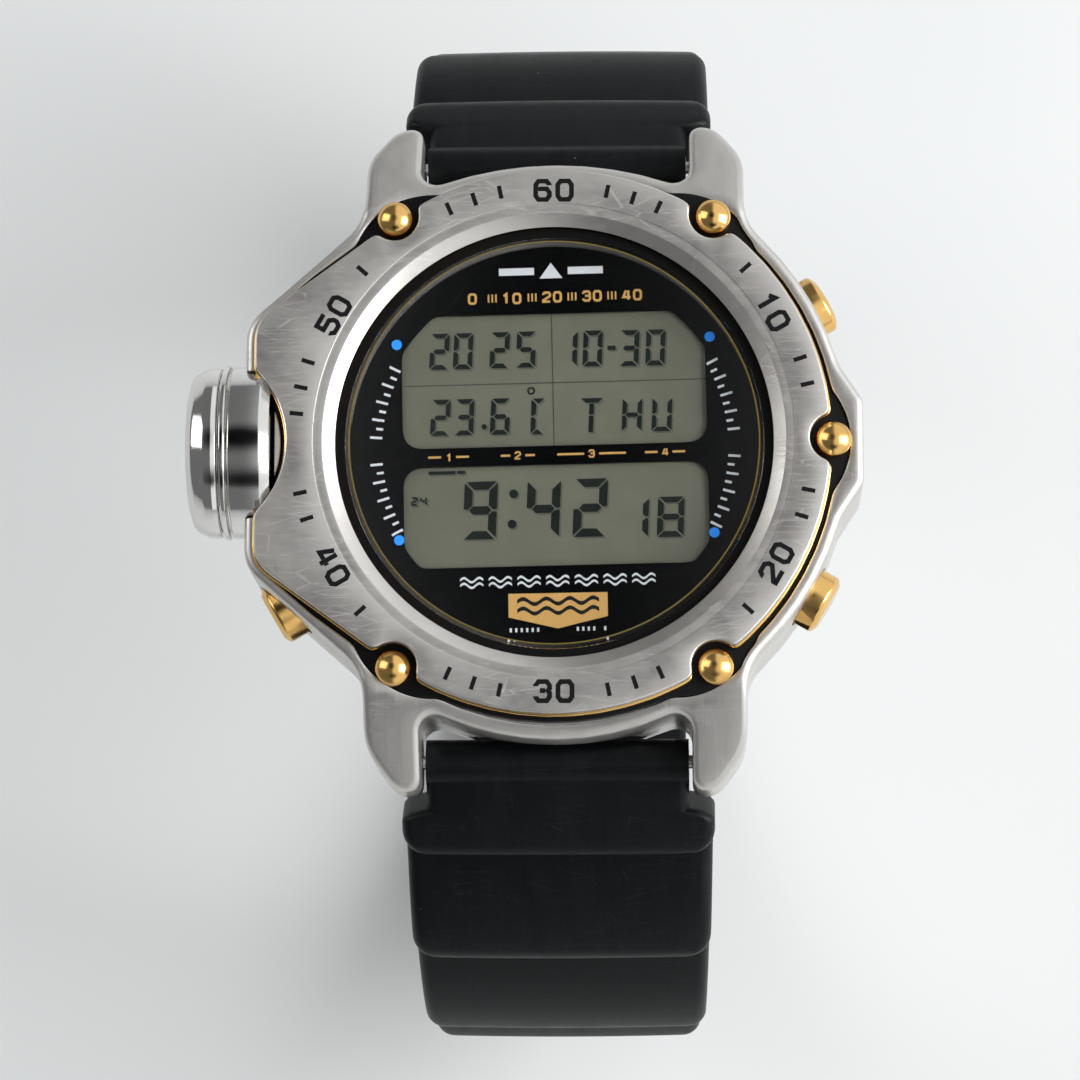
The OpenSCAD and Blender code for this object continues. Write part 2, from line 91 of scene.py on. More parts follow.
# ---------------------------------------------------------------- sizes, in mm and degrees
# the case: its round barrel, the lugs' inner and outer sides, the bore and the ledge under the glass
BARREL_R = 21.7
LUG_IN = 10.0
LUG_OUT = 14.05
CASE_FOOT = foot_of("case_body")
CASE_TOP = top_of("case_body")
CAVITY_R = 16.4
LEDGE_R = 15.1
LEDGE_TOP = 9.6
LEDGE_FOOT = 8.9
GLASS_BORE_R = 16.15
BACK_R = 17.2
BACK_SCREW_RING_R = 18.1
BACK_SCREW_ANGLES = (45, 135, 225, 315)
# the spring bars' axes
BAR_Y = 22.7
BAR_Z = 3.6

# the bezel plate on its gold trim and black seat, notched at the screws and hollowed at the sensor
BEZEL_R = 20.3
BEZEL_FOOT = foot_of("bezel")
BEZEL_TOP = top_of("bezel")
BEZEL_HOLE_R = 16.1
BEVEL_R = 17.0
STEP_R = 17.7
TRIM_FOOT = foot_of("bezel_trim")
SEAT_FOOT = foot_of("bezel_seat")
SEAT_GROW = 0.4
TRIM_GROW = 0.15
NOTCH_R = 1.8
HOLLOW_R = 7.5
HOLLOW_X = -27.2
CASE_EDGE = 0.5
NUMERAL_R = 18.7
SCREWS = (0, 55, 125, 235, 305)
SCREW_RING_R = 20.5
SCREW_HEAD_R = 1.3

# the sensor's drum lies along X, and its stem goes through the case's wall
SENSOR_Z = 7.7
SENSOR_R = 6.4
SENSOR_REACH = 27.1
STEM_R = 2.2
POCKET_R = SENSOR_R + 0.15
POCKET_FROM = 20.6

PUSHER_Z = 6.2
CAP_T = 2.3
# each pusher's angle round the case, the reach of its face from the centre, and its radius
PUSHERS = {
    "light": (30, 23.2, 2.25), "temp": (-30, 23.2, 2.25),
    "mode": (210, 24.3, 2.25), "adjust": (150, 22.5, 1.5)}
SHAFT_BORE_R = 0.93

# the dial is printed a little turned in the case
DIAL_TOP = top_of("dial_mask")
DIAL_FOOT = foot_of("dial_mask")
LCD_TOP = top_of("lcd_panel")
DIAL_TURN = 1.1
DIAL_R = 16.1
WINDOW_HALF = 11.2
WINDOW_REACH = 13.35
UPPER_WINDOW = (0.1, 10.1)
LOWER_WINDOW = (-8.85, -1.27)
INK_T = 0.01

# the strap's skin side: a side arc, a short straight run, a lower arc and the arc across the bottom
SKIN_R = 28.0
SIDE_C = np.array([8.5, -23.4])
LOW_C = np.array([8.5, -28.4])
LOW_END = -50.0
BOTTOM_SKIN_R = SKIN_R + SIDE_C[0] / math.cos(math.radians(LOW_END))
BOTTOM_C = np.array([0.0, LOW_C[1] - SIDE_C[0] * math.tan(math.radians(LOW_END))])
PLEAT_T = 4.0
TAIL_T = 3.0
STRAP_END_W = 19.5
# beyond this distance from the spring bar the strap widens past the lugs
EAR_START_R = 3.75
EYE_R = 1.7
BUCKLE_A = -55.5
TAIL_ROUND = 9.3
TAIL_PAST_CENTRE = 6.0
LEAN_12 = -4.0
LEAN_6 = 1.2
BUCKLE_AT = BOTTOM_C + (BOTTOM_SKIN_R + TAIL_T / 2) * np.array(
    [math.cos(math.radians(BUCKLE_A)), math.sin(math.radians(BUCKLE_A))])


# ---------------------------------------------------------------- outlines
def polar(r, degrees):
    a = math.radians(degrees)
    return np.array([r * math.cos(a), r * math.sin(a)])


def rounded(corners, step=6.0):
    """A closed outline: straight runs joined by arcs. Each corner is (x, y, radius)."""
    points = []
    for i, corner in enumerate(corners):
        a, b, c = (np.array(p[:2], float) for p in (corners[i - 1], corner, corners[(i + 1) % len(corners)]))
        r = corner[2]
        u, v = (a - b) / np.linalg.norm(a - b), (c - b) / np.linalg.norm(c - b)
        half = math.acos(float(np.clip(u @ v, -1, 1))) / 2
        if r == 0 or half > 1.57:
            points.append(b)
            continue
        centre = b + (u + v) / np.linalg.norm(u + v) * r / math.sin(half)
        p, q = b + u * r / math.tan(half) - centre, b + v * r / math.tan(half) - centre
        start, turn = math.atan2(p[1], p[0]), math.atan2(p[0] * q[1] - p[1] * q[0], p @ q)
        count = max(3, math.ceil(abs(math.degrees(turn)) / step))
        points += [centre + polar(r, math.degrees(start + turn * k / count)) for k in range(count + 1)]
    return np.array(points)


def mirrored(half):
    """The other half of an outline whose corners run from 3 to 9 o'clock."""
    return [(x, -y, r) for x, y, r in reversed(half)]


def tangent_corner(r, a0, a1):
    """The corner whose rounding is a circle's arc from one angle to another."""
    return (*polar(r / math.cos(math.radians((a1 - a0) / 2)), (a0 + a1) / 2), r)


def tangent_y(r, a, x):
    """Where a circle's tangent at an angle crosses a given x."""
    a = math.radians(a)
    return (r - x * math.cos(a)) / math.sin(a)


def resample(loop, step):
    """The same closed outline with evenly spaced points."""
    closed = np.vstack([loop, loop[:1]])
    run = np.concatenate([[0], np.cumsum(np.linalg.norm(np.diff(closed, axis=0), axis=1))])
    at = np.linspace(0, run[-1], round(run[-1] / step), endpoint=False)
    return np.column_stack([np.interp(at, run, closed[:, k]) for k in range(loop.shape[1])])


def soften(loop, passes):
    """Rounds an evenly spaced closed outline a little."""
    for _ in range(passes):
        loop = (np.roll(loop, 1, 0) + 2 * loop + np.roll(loop, -1, 0)) / 4
    return loop


def inset(loop, depth):
    """Moves a fine anticlockwise outline inwards."""
    along = np.roll(loop, -1, 0) - np.roll(loop, 1, 0)
    along /= np.maximum(np.linalg.norm(along, axis=1, keepdims=True), 1e-9)
    return loop + depth * np.column_stack([-along[:, 1], along[:, 0]])


def within(loop, limit):
    """Moves the points of an outline that lie outside a limit onto the limit."""
    near = np.array([limit[np.argmin(np.hypot(*(limit - p).T))] for p in loop])
    loop = np.where(contains(limit, loop)[:, None], loop, near)
    return loop[np.hypot(*(loop - np.roll(loop, 1, 0)).T) > 0.03]


def join_circle(loop, centre, radius, outside):
    """Cuts a circle out of an anticlockwise outline, or adds it to the outline when outside is true."""
    centre = np.array(centre, float)
    inside = np.hypot(*(loop - centre).T) < radius
    first = next(i for i in range(len(loop)) if inside[i] and not inside[i - 1])
    loop, inside = np.roll(loop, -first, 0), np.roll(inside, -first)
    run = int(np.argmin(inside))
    p, q = loop[-1] - centre, loop[run] - centre
    a0, a1 = math.atan2(p[1], p[0]), math.atan2(q[1], q[0])
    turn = (a1 - a0) % (2 * math.pi)
    if not outside:
        turn -= 2 * math.pi
    steps = max(6, int(abs(turn) * radius / 0.1))
    arc = [centre + polar(radius, math.degrees(a0 + turn * k / steps)) for k in range(1, steps)]
    return np.vstack([arc, loop[run:]])


LUG_ROOT_Y = tangent_y(BARREL_R, 67.4, LUG_IN)
# the case's outline from 3 o'clock over 12 to 9 o'clock; the other half mirrors it
CASE_HALF = [
    (22.7, 3.1, 1), (20.93, 5.77, 3), tangent_corner(BARREL_R, 17, 45.4),
    (LUG_OUT, tangent_y(BARREL_R, 45.4, LUG_OUT), 4), (LUG_OUT, 22.2, 4), (11.9, 25.1, 2),
    (LUG_IN, 25.3, 0.9), (LUG_IN, LUG_ROOT_Y, 1.2), tangent_corner(BARREL_R, 67.4, 112.6),
    (-LUG_IN, LUG_ROOT_Y, 1.2), (-LUG_IN, 25.3, 0.9), (-11.9, 25.1, 2),
    (-LUG_OUT, 22.2, 4), (-LUG_OUT, 16.9, 4), (-22.8, 9.16, 3)]


def case_outline():
    return soften(resample(rounded(CASE_HALF + mirrored(CASE_HALF)), 0.16), 3)


def plate_outline(grow, step=0.12):
    """The round plate with its wing towards the sensor, hollowed round the sensor."""
    half = [tangent_corner(BEZEL_R + grow, 0, 63.2), tangent_corner(BEZEL_R + grow, 63.2, 126.4),
            (-22 - grow, tangent_y(BEZEL_R + grow, 126.4, -22 - grow), 2.6)]
    loop = resample(rounded(half + mirrored(half)), step)
    return join_circle(loop, (HOLLOW_X, 0), HOLLOW_R - grow, outside=False)


def bezel_outline(grow, step=0.12):
    loop = resample(plate_outline(grow), step)
    for a in SCREWS:
        loop = join_circle(loop, polar(SCREW_RING_R, a), NOTCH_R, outside=False)
    return soften(resample(soften(loop, 8), step), 6)


def seat_outline(grow, step=0.12):
    loop = resample(plate_outline(SEAT_GROW + grow), step)
    for a in SCREWS:
        loop = join_circle(loop, polar(15.7, a), 6 + grow, outside=True)
        loop = resample(loop, step)
    loop[:, 0] = np.clip(loop[:, 0], -22.2 - grow, 22.2 + grow)
    return soften(resample(loop, step), 4)


def circle(r, count=240):
    a = np.linspace(0, 2 * math.pi, count, endpoint=False)
    return r * np.column_stack([np.cos(a), np.sin(a)])


def contains(loop, points):
    """Which of the points lie inside the closed outline."""
    inside = np.zeros(len(points), bool)
    x, y = points[:, 0], points[:, 1]
    for (x0, y0), (x1, y1) in zip(loop, np.roll(loop, -1, 0)):
        if y0 != y1:
            crosses = (y0 > y) != (y1 > y)
            inside ^= crosses & (x < (x1 - x0) * (y - y0) / (y1 - y0) + x0)
    return inside


# ---------------------------------------------------------------- meshes
def regions(triangles, walls):
    """Numbers the groups of triangles that touch one another without a wall between them."""
    group = list(range(len(triangles)))

    def root(k):
        while group[k] != k:
            group[k] = group[group[k]]
            k = group[k]
        return k

    first = {}
    for k, (a, b, c) in enumerate(triangles):
        for edge in (frozenset((a, b)), frozenset((b, c)), frozenset((c, a))):
            if edge not in walls:
                group[root(k)] = root(first.setdefault(edge, k))
    return [root(k) for k in range(len(triangles))]


class Shell:
    """Vertices and faces of one closed skin, in millimetres."""

    def __init__(self):
        self.points = []
        self.faces = []

    def ring(self, points):
        start = len(self.points)
        self.points += [tuple(map(float, p)) for p in points]
        return list(range(start, len(self.points)))

    def flat(self, loop, z):
        """Adds an outline at a height, which is a number or a function of x and y."""
        return self.ring([(x, y, z(x, y) if callable(z) else z) for x, y in loop])

    def sweep(self, rings):
        """Joins each ring to the next one with quads."""
        for a, b in zip(rings, rings[1:]):
            n = len(a)
            self.faces += [(a[i], a[(i + 1) % n], b[(i + 1) % n], b[i]) for i in range(n)]

    def cap(self, outer, holes=(), up=True, z=None, grid=None):
        """Fills between rings already added, seen from above. A grid of points follows a curved top."""
        rings = [outer, *holes]
        index = [i for r in rings for i in r]
        loops = [np.array([self.points[i][:2] for i in r]) for r in rings]
        flat = np.vstack(loops)
        edges, start = [], 0
        for r in rings:
            edges += [(start + k, start + (k + 1) % len(r)) for k in range(len(r))]
            start += len(r)

        def filled(points):
            keep = contains(loops[0], points)
            for hole in loops[1:]:
                keep &= ~contains(hole, points)
            return keep

        if grid:
            low, high = flat.min(0), flat.max(0)
            xs, ys = (np.arange(low[k] + grid / 2, high[k], grid) for k in (0, 1))
            mesh = np.array([(x, y) for x in xs for y in ys])
            mesh = mesh[filled(mesh)]
            mesh = mesh[np.array([np.hypot(*(flat - p).T).min() > grid * 0.55 for p in mesh])]
            index += self.ring([(x, y, z(x, y)) for x, y in mesh])
            flat = np.vstack([flat, mesh])
        done = geometry.delaunay_2d_cdt([Vector(p) for p in flat], edges, [], 0, 1e-7)
        where = [index[o[0]] if o else None for o in done[3]]
        triangles = [t for t in done[2] if all(where[i] is not None for i in t)]
        shapes = np.array([[done[0][i][:] for i in t] for t in triangles])
        sides = shapes[:, 1:] - shapes[:, :1]
        areas = np.abs(sides[:, 0, 0] * sides[:, 1, 1] - sides[:, 0, 1] * sides[:, 1, 0])
        keep = filled(shapes.mean(1))
        region = regions(triangles, {frozenset(e) for e, source in zip(done[1], done[4]) if source})
        widest = {}
        for k, group in enumerate(region):
            if group not in widest or areas[k] > areas[widest[group]]:
                widest[group] = k
        for t, group in zip(triangles, region):
            if keep[widest[group]]:
                corners = [where[i] for i in t]
                a, b, c = (np.array(self.points[i][:2]) for i in corners)
                turn = (b[0] - a[0]) * (c[1] - a[1]) - (b[1] - a[1]) * (c[0] - a[0])
                self.faces.append(tuple(corners if (turn > 0) == up else corners[::-1]))


def finish_mesh(mesh, smooth=35):
    """Joins doubled points, faces the skin outwards and shades it smooth up to an angle."""
    work = bmesh.new()
    work.from_mesh(mesh)
    bmesh.ops.remove_doubles(work, verts=work.verts, dist=2e-6)
    bmesh.ops.dissolve_degenerate(work, edges=work.edges, dist=1e-7)
    bmesh.ops.recalc_face_normals(work, faces=work.faces)
    work.to_mesh(mesh)
    work.free()
    shade_smooth(mesh, smooth)


def shade_smooth(mesh, angle):
    mesh.polygons.foreach_set("use_smooth", [True] * len(mesh.polygons))
    mesh.set_sharp_from_angle(angle=math.radians(angle))


def linked(name, data):
    """A new object in the scene that shows some data."""
    obj = bpy.data.objects.new(name, data)
    bpy.context.collection.objects.link(obj)
    return obj


def make_object(name, shell, smooth=35, place=None):
    """A mesh object from a shell in millimetres, put in place by a matrix that is also in millimetres."""
    points = np.array(shell.points, float)
    if place is not None:
        points = (np.array(place) @ np.column_stack([points, np.ones(len(points))]).T).T[:, :3]
    mesh = bpy.data.meshes.new(name)
    mesh.from_pydata((points * MM).tolist(), [], shell.faces)
    finish_mesh(mesh, smooth)
    return linked(name, mesh)


def plate_shell(loop, z0, z1, edge, foot_edge, hole_r=None):
    """A plate with rounded edges from a fine anticlockwise outline, with a round hole or none."""
    shell = Shell()
    rings = [shell.flat(inset(loop, d), z) for d, z in rounded_edge(z0, z1, edge, foot_edge)]
    hole = [shell.flat(circle(hole_r), z) for z in (z1, z0)] if hole_r else []
    shell.sweep(rings)
    shell.cap(rings[-1], hole[:1])
    shell.sweep(hole)
    shell.cap(rings[0], hole[1:], up=False)
    return shell


def rounded_edge(z0, z1, edge, foot_edge, steps=4):
    """(inset, height) pairs from the foot of a wall to its top, rounded at both ends."""
    arc = np.linspace(0, math.pi / 2, steps + 1)
    foot = [(foot_edge * (1 - math.sin(a)), z0 + foot_edge * (1 - math.cos(a))) for a in arc]
    top = [(edge * (1 - math.cos(a)), z1 - edge * (1 - math.sin(a))) for a in arc]
    return (foot if foot_edge else [(0.0, z0)]) + (top if edge else [(0.0, z1)])


def lathe_shell(profile, count=96):
    """Turns a closed profile of (radius, height) points round Z. Points on the axis become poles."""
    shell = Shell()
    rings = [shell.ring([(0, 0, h)] if r < 1e-6 else [(*p, h) for p in circle(r, count)]) for r, h in profile]
    for a, b in zip(rings, rings[1:] + rings[:1]):
        if len(a) == len(b) == count:
            shell.sweep([a, b])
        elif len(a) != len(b):
            pole, ring = (a[0], b) if len(a) == 1 else (b[0], a)
            shell.faces += [(pole, ring[i], ring[(i + 1) % count]) for i in range(count)]
    return shell


def turned(corners, count=96, step=12.0):
    """A lathe shape whose profile corners are (radius, height, rounding)."""
    return lathe_shell([(max(r, 0.0), h) for r, h in rounded(corners, step)], count)


def solid_turned(corners, count=96, step=12.0):
    """As turned, but the first and last corners lie on the axis and stay sharp."""
    closed = rounded([*corners, (-3, corners[-1][1], 0), (-3, corners[0][1], 0)], step)
    profile = [(r, h) for r, h in closed if r > 0.005]
    return lathe_shell([(0.0, corners[0][1]), *profile, (0.0, corners[-1][1])], count)


def quarter_turn(at, degrees=90):
    """Turns +Z to +X, or to -X at -90 degrees, with the turned axis passing through a point."""
    return Matrix.Translation(at) @ Matrix.Rotation(math.radians(degrees), 4, "Y")


def along_x(x):
    """The sensor's axis: a height h in a profile comes to lie at x + h."""
    return quarter_turn((x, 0, SENSOR_Z))


def pusher_place(pusher):
    """A pusher's axis: a profile's height becomes the distance from the watch's centre."""
    return Matrix.Rotation(math.radians(pusher[0]), 4, "Z") @ quarter_turn((0, 0, PUSHER_Z))


def across_x(at):
    return quarter_turn((0, *at))


def drill(r, low, high, place=None, count=64):
    """A cylinder to cut away or to add, from one height to another along its own axis."""
    return cutter(lathe_shell([(0, low), (r, low), (r, high), (0, high)], count), place)


def rod(r, half, place, count=64):
    return drill(r, -half, half, place, count)


def cutter(shell, place=None):
    obj = make_object("cutter", shell, place=place)
    obj.hide_render = True
    return obj


def carve(obj, tools, operation="DIFFERENCE", solver="MANIFOLD"):
    """Cuts tools away from obj, or joins them to it, and leaves one clean mesh."""
    for tool in tools:
        step = obj.modifiers.new("cut", "BOOLEAN")
        step.operation = operation
        step.solver = solver
        step.object = tool
    shaped = bpy.data.meshes.new_from_object(obj.evaluated_get(bpy.context.evaluated_depsgraph_get()))
    obj.modifiers.clear()
    old, obj.data = obj.data, shaped
    shaped.name = obj.name
    bpy.data.meshes.remove(old)
    for tool in tools:
        bpy.data.meshes.remove(tool.data)


def bevelled(name, node, width):
    """A copy of a CAD node with its flat faces merged and its edges rounded."""
    mesh = NODES[node].data.copy()
    work = bmesh.new()
    work.from_mesh(mesh)
    bmesh.ops.remove_doubles(work, verts=work.verts, dist=2e-6)
    bmesh.ops.dissolve_limit(work, angle_limit=math.radians(1.5), verts=work.verts, edges=work.edges)
    work.to_mesh(mesh)
    work.free()
    obj = linked(name, mesh)
    edge = obj.modifiers.new("edge", "BEVEL")
    edge.width = width * MM
    edge.segments = 3
    edge.limit_method = "ANGLE"
    edge.angle_limit = math.radians(40)
    edge.harden_normals = False
    carve(obj, [])
    shade_smooth(obj.data, 35)
    return obj


def copies(shell, places):
    """One shell from copies of another, each put in place by its own matrix."""
    whole = Shell()
    for place in places:
        start = len(whole.points)
        whole.points += [tuple(place @ Vector(p)) for p in shell.points]
        whole.faces += [tuple(i + start for i in f) for f in shell.faces]
    return whole


# ---------------------------------------------------------------- materials
class Graph:
    """A node tree with short ways to add nodes, link them and compute."""

    def __init__(self, tree):
        self.tree = tree

    def link(self, out, into):
        self.tree.links.new(out, into)

    def add(self, kind, inputs=None, **settings):
        """A new node. Each of its inputs is given a value, or is linked to another node's output."""
        node = self.tree.nodes.new(kind)
        for key, value in settings.items():
            setattr(node, key, value)
        for key, value in (inputs or {}).items():
            if isinstance(value, bpy.types.NodeSocket):
                self.link(value, node.inputs[key])
            else:
                node.inputs[key].default_value = value
        return node

    def ramp(self, value, low, high, start=0.0, end=1.0, **settings):
        inputs = {"Value": value, "From Min": low, "From Max": high, "To Min": start, "To Max": end}
        return self.add("ShaderNodeMapRange", inputs, **settings).outputs["Result"]

    def math(self, operation, a, b=0.0):
        return self.add("ShaderNodeMath", {0: a, 1: b}, operation=operation).outputs[0]

    def weigh(self, a, share_a, b, share_b):
        return self.math("ADD", self.math("MULTIPLY", a, share_a), self.math("MULTIPLY", b, share_b))


class Look(Graph):
    """A Principled material with helpers that add texture nodes measured in millimetres."""

    def __init__(self, name, colour, roughness, metallic=0.0, **sockets):
        self.material = bpy.data.materials.new(name)
        self.material.use_nodes = True
        super().__init__(self.material.node_tree)
        self.shader = self.tree.nodes["Principled BSDF"]
        self.shader.inputs["Base Color"].default_value = (*colour, 1)
        self.shader.inputs["Roughness"].default_value = roughness
        self.shader.inputs["Metallic"].default_value = metallic
        for key, value in sockets.items():
            self.shader.inputs[key.replace("_", " ")].default_value = value
        self.colour = colour
        self.height = None
        self.where = self.add("ShaderNodeTexCoord").outputs["Object"]

    def mapped(self, stretch=(1, 1, 1), turn=(0, 0, 0)):
        """Object coordinates in millimetres, stretched and turned."""
        inputs = {"Vector": self.where, "Scale": [s / MM for s in stretch],
                  "Rotation": [math.radians(t) for t in turn]}
        return self.add("ShaderNodeMapping", inputs).outputs["Vector"]

    def noise(self, scale, detail=3.0, stretch=(1, 1, 1), turn=(0, 0, 0), roughness=0.55):
        inputs = {"Vector": self.mapped(stretch, turn), "Scale": scale, "Detail": detail,
                  "Roughness": roughness}
        return self.add("ShaderNodeTexNoise", inputs).outputs["Fac"]

    def scratches(self, turn, length=0.12, spacing=1.1, width=0.02):
        """Thin straight scratches, broken up so that they start and stop. 1 on a scratch, 0 beside it."""
        inputs = {"Vector": self.mapped((length, spacing, 0.2), (0, 0, turn)), "Scale": 1.0}
        node = self.add("ShaderNodeTexVoronoi", inputs, feature="DISTANCE_TO_EDGE")
        line = self.ramp(node.outputs["Distance"], 0.0, width, 1.0, 0.0)
        where = self.ramp(self.noise(0.35, 2, turn=(0, 0, turn + 40)), 0.5, 0.62)
        return self.math("MULTIPLY", line, where)

    def specks(self, spacing, size, share=0.5):
        """Small round dust specks, some cells of the pattern only."""
        node = self.add("ShaderNodeTexVoronoi", {"Vector": self.mapped(), "Scale": 1.0 / spacing})
        dot = self.ramp(node.outputs["Distance"], size * 0.6, size, 1.0, 0.0)
        pick = self.add("ShaderNodeSeparateColor", {0: node.outputs["Color"]})
        return self.math("MULTIPLY", dot, self.ramp(pick.outputs[0], share, share + 0.02))

    def tint(self, value, colour):
        """Mixes another colour in by a value from 0 to 1."""
        old = self.shader.inputs["Base Color"]
        before = old.links[0].from_socket if old.links else (*self.colour, 1)
        inputs = {"Factor": value, "A": before, "B": (*colour, 1)}
        self.link(self.add("ShaderNodeMix", inputs, data_type="RGBA").outputs["Result"], old)
        return self

    def rough(self, value, low, high):
        self.link(self.ramp(value, 0, 1, low, high), self.shader.inputs["Roughness"])
        return self

    def bump(self, value, depth):
        """Adds relief of a depth in millimetres."""
        inputs = {"Height": value, "Distance": depth * MM, "Strength": 1.0}
        if self.height is not None:
            inputs["Normal"] = self.height
        self.height = self.add("ShaderNodeBump", inputs).outputs["Normal"]
        self.link(self.height, self.shader.inputs["Normal"])
        return self


def metal(name, colour, roughness, grain=None, grain_depth=0.0015, scratch=0.0006, smudge=0.08, dull=None):
    """Steel or plated metal: optional brushed grain, crossing hair scratches and smudges in the gloss."""
    look = Look(name, colour, roughness, 1.0)
    cloud = look.noise(0.22, 4)
    gloss = look.ramp(cloud, 0.3, 0.7)
    if grain:
        lines = look.noise(1.0, 3, stretch=grain)
        look.bump(lines, grain_depth)
        gloss = look.weigh(gloss, 0.6, lines, 0.5)
    crossing = look.math("ADD", look.scratches(-38, 0.2, 0.8), look.scratches(77, 0.1, 1.6))
    hairs = look.math("ADD", look.scratches(17), crossing)
    look.bump(hairs, -scratch)
    worn = look.math("ADD", gloss, look.math("MULTIPLY", hairs, 0.5))
    look.rough(worn, roughness - smudge / 2, roughness + smudge)
    dull = dull or tuple(c * 0.82 for c in colour)
    return look.tint(look.ramp(cloud, 0.35, 0.75, 0.0, 0.6), dull)


def resin(name, colour=(0.0028, 0.0036, 0.0042)):
    """Moulded strap resin: satin, finely pitted, with rub marks and dust."""
    look = Look(name, colour, 0.42, Specular_IOR_Level=0.16)
    pits = look.noise(5.0, 4, roughness=0.65)
    sweep = look.noise(0.5, 4, stretch=(1, 0.25, 0.25))
    look.bump(pits, 0.012)
    look.bump(sweep, 0.05)
    hairs = look.math("ADD", look.scratches(80, 0.1, 0.9, 0.015), look.scratches(12, 0.14, 0.7, 0.012))
    look.bump(hairs, -0.004)
    look.rough(look.weigh(sweep, 0.8, hairs, 0.3), 0.3, 0.52)
    look.tint(look.math("MULTIPLY", look.ramp(sweep, 0.4, 0.8), 0.5), (0.005, 0.006, 0.007))
    look.tint(look.math("MULTIPLY", hairs, 0.25), (0.03, 0.032, 0.035))
    return look.tint(look.math("MULTIPLY", look.specks(1.7, 0.05, 0.7), 0.6), (0.22, 0.22, 0.21))


def plastic(name, colour, roughness, grain=4.0, depth=0.006, worn=None, shine=0.4):
    look = Look(name, colour, roughness, Specular_IOR_Level=shine)
    fine, broad = look.noise(grain, 4), look.noise(0.35, 3)
    look.bump(fine, depth)
    look.rough(look.weigh(fine, 0.5, broad, 0.5), roughness - 0.08, roughness + 0.1)
    return look.tint(look.ramp(broad, 0.4, 0.75), worn or tuple(c * 1.35 for c in colour))


def ink(name, colour, roughness=0.45, metallic=0.0):
    """Printed ink: slightly uneven cover and gloss."""
    look = Look(name, colour, roughness, metallic, Specular_IOR_Level=0.15)
    cover = look.noise(3.0, 4)
    look.rough(cover, roughness - 0.08, roughness + 0.12)
    look.bump(cover, 0.002)
    return look.tint(look.ramp(cover, 0.5, 0.8, 0.0, 0.35), tuple(c * 0.7 for c in colour))


def board_look():
    """Solder mask with copper traces running under it."""
    look = Look("circuit_board", (0.01, 0.09, 0.03), 0.35)
    inputs = {"Vector": look.mapped(), "Scale": 0.8, "Mortar Size": 0.03}
    traces = look.add("ShaderNodeTexBrick", inputs, offset=0.35, squash=1.3).outputs["Fac"]
    look.tint(traces, (0.06, 0.25, 0.09))
    look.bump(traces, 0.02)
    return look.rough(look.noise(1.5, 3), 0.28, 0.5)


def glass_look():
    """Mineral glass that lets light through to the dial, with a few faint hairlines."""
    look = Look("crystal_glass", (1.0, 1.0, 1.0), 0.02, Transmission_Weight=1.0, IOR=1.45)
    hairs = look.math("ADD", look.scratches(62, 0.08, 0.5, 0.006), look.scratches(28, 0.1, 0.4, 0.005))
    look.bump(hairs, -0.0008)
    look.rough(hairs, 0.01, 0.1)
    shadow = look.add("ShaderNodeLightPath").outputs["Is Shadow Ray"]
    clear = look.add("ShaderNodeBsdfTransparent").outputs["BSDF"]
    mix = look.add("ShaderNodeMixShader", {"Fac": shadow, 1: look.shader.outputs["BSDF"], 2: clear})
    look.link(mix.outputs["Shader"], look.tree.nodes["Material Output"].inputs["Surface"])
    return look


